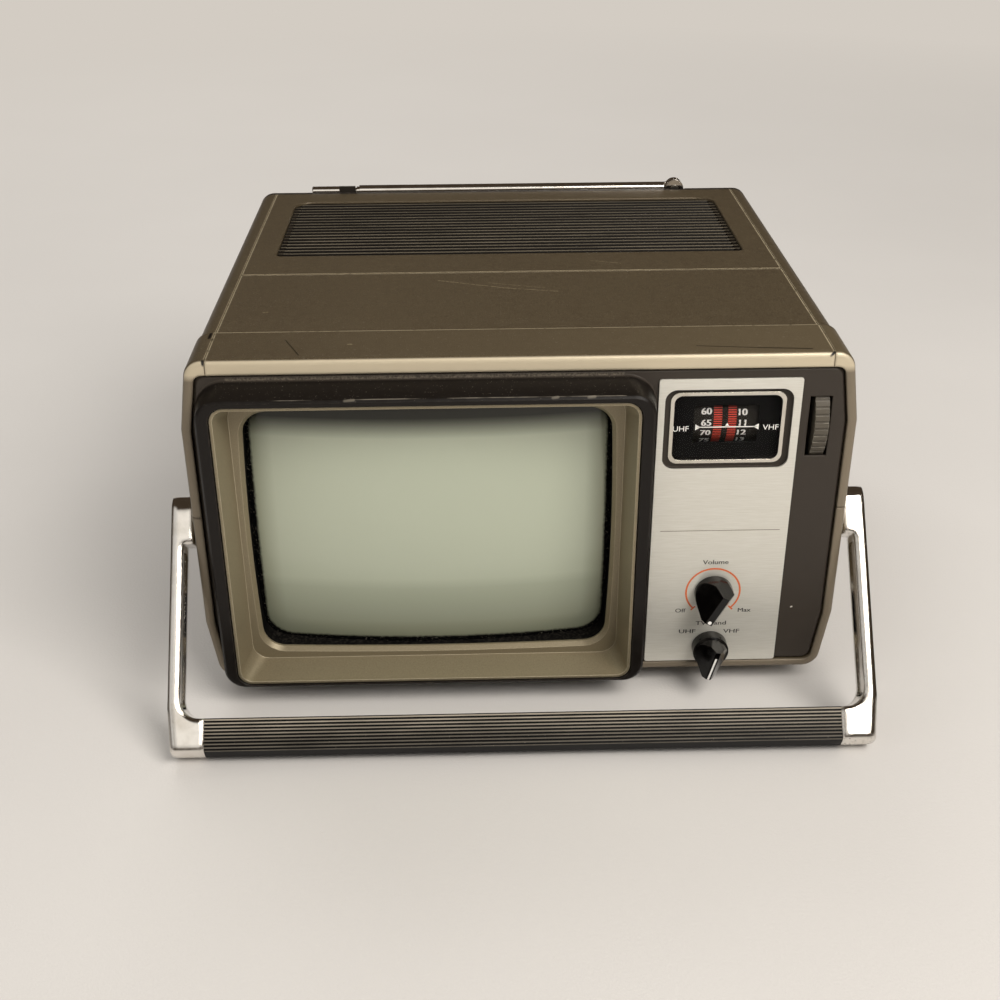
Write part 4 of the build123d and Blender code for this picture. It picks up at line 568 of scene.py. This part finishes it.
# ABS moulded with louvres: dark slits under rows of soft grey lines, painted highlights along the rib tops
roof_fall = math.atan(top_fall)
roof_up = Vector((0, math.sin(roof_fall), math.cos(roof_fall)))
finish_part("top_grille", ribbed_black(
    "louvred_grille_abs", tuple(roof_up), Vector(spot(0, nose_back, 0.8)).dot(roof_up) - grille_sink, 0.4,
    (0, 1, 0), middle(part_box("top_grille")).y / MM - grille_shift, grille_pitch, 0.55, "100d0a", "6a6254"))

# ---------------------------------------------------------------- printing

def lettering(words, height, width=None, stretch=1.0):
    """Flat mesh of plain sans letters round the origin, x to the right and y up.

    They are as wide as width says, or else stretch times their own width.
    """
    curve = bpy.data.curves.new("letters", "FONT")
    curve.body = words
    curve.resolution_u = 3
    holder = bpy.data.objects.new("letters", curve)
    mesh = bpy.data.meshes.new_from_object(holder)
    bpy.data.objects.remove(holder)
    spread = [[v.co[axis] for v in mesh.vertices] for axis in (0, 1)]
    low = [min(s) for s in spread]
    size = [max(s) - min(s) for s in spread]
    tall = height / size[1]
    wide = width / size[0] if width else tall * stretch
    for v in mesh.vertices:
        v.co.x = (v.co.x - low[0] - size[0] / 2) * wide
        v.co.y = (v.co.y - low[1] - size[1] / 2) * tall
    return mesh


def flat_shape(points):
    """Flat mesh of one outline, x to the right and y up."""
    mesh = bpy.data.meshes.new("shape")
    mesh.from_pydata([(x, y, 0) for x, y in points], [], [list(range(len(points)))])
    return mesh


def bar(width, height):
    """Flat level bar round the origin."""
    x, y = width / 2, height / 2
    return flat_shape([(-x, -y), (x, -y), (x, y), (-x, y)])


def lay(sheet, mesh, where):
    """Adds a flat mesh to a sheet of print; where turns its millimetres into a place in the row frame."""
    start = len(sheet.verts)
    sheet.from_mesh(mesh)
    sheet.verts.ensure_lookup_table()
    for v in list(sheet.verts)[start:]:
        v.co = where(v.co.x, v.co.y)


def on_front(x, drop, back):
    """Where print lies on an upright face, its middle at x and drop, so far behind the front face."""
    return lambda u, v: Vector(((x + u) * MM, behind(back), below(drop) + v * MM))


def on_drum(x, angle, lift=0.05):
    """Where print lies round the dial drum, at an angle above the point that faces the front."""
    def where(u, v):
        turn = angle + v / drum_radius
        reach = (drum_radius + lift) * MM
        return Vector(((x + u) * MM, drum_axis.y - reach * math.cos(turn), drum_axis.z + reach * math.sin(turn)))
    return where


def on_knob(axis, lean, front):
    """Where print lies on the front of a knob, its -y along the pointer, which leans by so much."""
    def where(u, v):
        x = u * math.cos(lean) + v * math.sin(lean)
        z = v * math.cos(lean) - u * math.sin(lean)
        return Vector((axis.x + x * MM, front + print_lift * MM, axis.z + z * MM))
    return where


def publish(sheet, name, material, body):
    """Makes a piece of a finished sheet of print and lets it ride on its body."""
    mesh = bpy.data.meshes.new(name)
    sheet.to_mesh(mesh)
    sheet.free()
    mesh.materials.append(material)
    piece = bpy.data.objects.new(name, mesh)
    bpy.context.scene.collection.objects.link(piece)
    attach(piece, body)


black_ink = ink("black_screen_ink", "1e1a17")
brown_ink = ink("brown_screen_ink", "6b5a48")
orange_ink = ink("orange_screen_ink", "dc6c34")
white_ink = ink("white_screen_ink", "fdfbf6")
red_ink = ink("red_screen_ink", "ee4630")
print_lift = -0.03              # print stands this far in front of what carries it

# the words, each struck twice a little apart for the weight of the type: x, drop, height, width
words = bmesh.new()
for text, x, drop, height, width in (
    ("Volume", 85.2, 98.2, 2.1, 11.2), ("Off", 71.2, 123.2, 2.0, 4.6), ("Max", 99.7, 123.4, 2.0, 5.7),
    ("TV Band", 85.2, 130.1, 2.0, 13.6), ("UHF", 74.9, 134.4, 2.0, 7.4), ("VHF", 94.7, 134.6, 2.0, 7.2),
):
    for shift, lift in ((-0.05, 0.0), (0.05, 0.01)):
        lay(words, lettering(text, height, width), on_front(x + shift, drop, print_lift - lift))
publish(words, "plate_words", black_ink, "cabinet")

rule = bmesh.new()
lay(rule, bar(51.6, 0.26), on_front(85.9, 82.2, print_lift))
publish(rule, "plate_rule", brown_ink, "cabinet")

# arc round the volume knob, open at the bottom, with a short bar across each end
arc_radius, arc_line = 11.9, 0.8
arc_parts = 72
arc_end = math.radians(180 - 46)
bar_inner, bar_outer, bar_turn = 10.6, 13.2, 0.06
around_volume = on_front(volume_axis.x / MM - 0.2, (roof_z - volume_axis.z) / MM - 0.1, print_lift)
arc = bmesh.new()
ring = []
for radius, order in ((arc_radius + arc_line / 2, 1), (arc_radius - arc_line / 2, -1)):
    turns = [arc_end * (2 * i / arc_parts - 1) for i in range(arc_parts + 1)]
    ring += [(radius * math.sin(t), radius * math.cos(t)) for t in turns[::order]]
lay(arc, flat_shape(ring), around_volume)
for side in (-1, 1):
    across_end = [(side * r * math.sin(arc_end + d), r * math.cos(arc_end + d))
                  for r, d in ((bar_inner, 0), (bar_outer, 0), (bar_outer, bar_turn), (bar_inner, bar_turn))]
    lay(arc, flat_shape(across_end), around_volume)
publish(arc, "plate_arc", orange_ink, "cabinet")

# a white dot near the tip of the volume knob and a white line along the band knob's pointer
dot = bmesh.new()
dot_radius, dot_reach, dot_sides = 0.85, 7.3, 16
round_dot = [(dot_radius * math.cos(math.tau * i / dot_sides), dot_radius * math.sin(math.tau * i / dot_sides))
             for i in range(dot_sides)]
lay(dot, flat_shape([(x, y - dot_reach) for x, y in round_dot]),
    on_knob(volume_axis, math.radians(28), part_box("volume_knob")[0].y))
publish(dot, "volume_dot", white_ink, "volume")
line = bmesh.new()
lay(line, flat_shape([(-0.45, -8.3), (0.45, -8.3), (0.45, 3.0), (-0.45, 3.0)]),
    on_knob(band_axis, math.radians(15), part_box("band_knob")[0].y))
publish(line, "band_line", white_ink, "band")

# ---------------------------------------------------------------- dial

# numbers round the drum, channels growing downwards on both scales, each struck three times for weight;
# a scale is its channels, the one at the pointer and its angle, the angle from one to the next, and x
numbers = bmesh.new()
uhf = [14] + list(range(20, 85, 5))
vhf = list(range(2, 14))
for scale, at_pointer, start, pitch, x in ((uhf, 65, 0.5, 18.0, 77.5), (vhf, 11, -0.5, 17.0, 92.7)):
    for index, channel in enumerate(scale):
        angle = math.radians(start - (index - scale.index(at_pointer)) * pitch)
        for shift, lift in ((-0.18, 0.05), (0.0, 0.06), (0.18, 0.07)):
            lay(numbers, lettering(str(channel), 2.8, stretch=1.12), on_drum(x + shift, angle, lift))
publish(numbers, "dial_numbers", white_ink, "tuning")

# two columns of red ticks beside the numbers
ticks = bmesh.new()
tick_pitch = 0.98 / drum_radius
ticks_start, ticks_span = math.radians(178), math.radians(255)
for index in range(int(ticks_span / tick_pitch)):
    for x in (82.3, 88.3):
        lay(ticks, bar(3.5, 0.48), on_drum(x, ticks_start - index * tick_pitch))
publish(ticks, "dial_ticks", red_ink, "tuning")

# on the window, a pointer line with an arrowhead at each end and one on top, and the two band names
window_back = (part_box("dial_window")[0].y - face_y) / MM + print_lift
on_pointer = on_front(85.6, 33.6, window_back)
pointer = bmesh.new()
lay(pointer, bar(25.2, 0.44), on_pointer)
for side in (-1, 1):
    lay(pointer, flat_shape([(side * 13.2, -1.35), (side * 13.2, 1.35), (side * 10.9, 0)]), on_pointer)
lay(pointer, flat_shape([(-0.8, 0.5), (0.8, 0.5), (0, 1.9)]), on_pointer)
publish(pointer, "dial_pointer", white_ink, "cabinet")
names = bmesh.new()
for text, x, drop in (("UHF", 66.4, 34.2), ("VHF", 103.8, 34.0)):
    lay(names, lettering(text, 2.4, 6.6), on_front(x, drop, window_back))
publish(names, "dial_names", white_ink, "cabinet")


# ---------------------------------------------------------------- studio, in metres and watts

def build_floor():
    """A wide pale cloth, level with the feet."""
    mesh = bpy.data.meshes.new("floor")
    half = 6.0
    mesh.from_pydata([(-half, -half, 0), (half, -half, 0), (half, half, 0), (-half, half, 0)], [], [(0, 1, 2, 3)])
    mesh.materials.append(tablecloth())
    floor = bpy.data.objects.new("floor", mesh)
    bpy.context.scene.collection.objects.link(floor)


def area_lamp(name, place, size, power, colour, mirrored):
    """A square soft lamp that looks at the middle of the set."""
    lamp = bpy.data.lights.new(name, "AREA")
    lamp.shape = "SQUARE"
    lamp.size = size
    lamp.energy = power
    lamp.color = linear(colour)[:3]
    holder = bpy.data.objects.new(name, lamp)
    holder.location = place
    holder.visible_glossy = mirrored
    look = Vector((0, 0, 0.08)) - Vector(place)
    holder.rotation_euler = look.to_track_quat("-Z", "Y").to_euler()
    bpy.context.scene.collection.objects.link(holder)


def build_world():
    """Even light all round; mirrors and glass see a room that is bright in front and brown behind."""
    world = bpy.data.worlds.new("studio")
    world.use_nodes = True
    tree = world.node_tree
    tree.nodes.clear()
    camera, mirror, glass = (add(tree, "LightPath", out=ray)
                             for ray in ("Is Camera Ray", "Is Glossy Ray", "Is Transmission Ray"))
    direction = add(tree, "TexCoord", out="Generated")
    front = add(tree, "VectorMath", direction, (-0.045, -0.74, 0.67), out="Value", operation="DOT_PRODUCT")
    room = over(tree, "3f352b",
                (add(tree, "MapRange", front, 0.935, 0.978), 1, "fffaf2"),
                (camera, 1, backdrop_colour))
    light = add(tree, "Background", {"Color": "fffaf3", "Strength": 0.42})
    shown = add(tree, "Background", {"Color": room, "Strength": 1.0})
    both = add(tree, "MixShader", either(tree, camera, mirror, glass), light, shown)
    add(tree, "OutputWorld", {"Surface": both})
    bpy.context.scene.world = world


def build_camera():
    """A 50 mm lens a little left of the middle, looking down at the front."""
    lens = bpy.data.cameras.new("camera")
    lens.lens = 50
    lens.sensor_width = 36
    lens.clip_start = 0.01
    camera = bpy.data.objects.new("camera", lens)
    pan, pitch_down, roll = -1.266, 29.151, -0.319      # degrees
    turn = Matrix.Rotation(math.radians(pan), 4, "Z") @ Matrix.Rotation(math.radians(90 - pitch_down), 4, "X")
    turn = turn @ Matrix.Rotation(math.radians(roll), 4, "Z")
    place = Vector((-20.08 * MM, behind(-513.21), below(-220.87)))
    camera.matrix_world = Matrix.Translation(place) @ turn
    bpy.context.scene.collection.objects.link(camera)
    bpy.context.scene.camera = camera


build_floor()
build_world()
area_lamp("key", (0.62, -0.8, 1.1), 0.8, 17.5, "fffaf3", True)
area_lamp("back", (-0.5, 1.3, 1.2), 1.2, 12, "f8f6f2", False)
area_lamp("fill", (-1.0, -0.7, 0.8), 1.0, 2, "f8f6f2", True)
build_camera()
bpy.context.scene.view_settings.view_transform = "Standard"
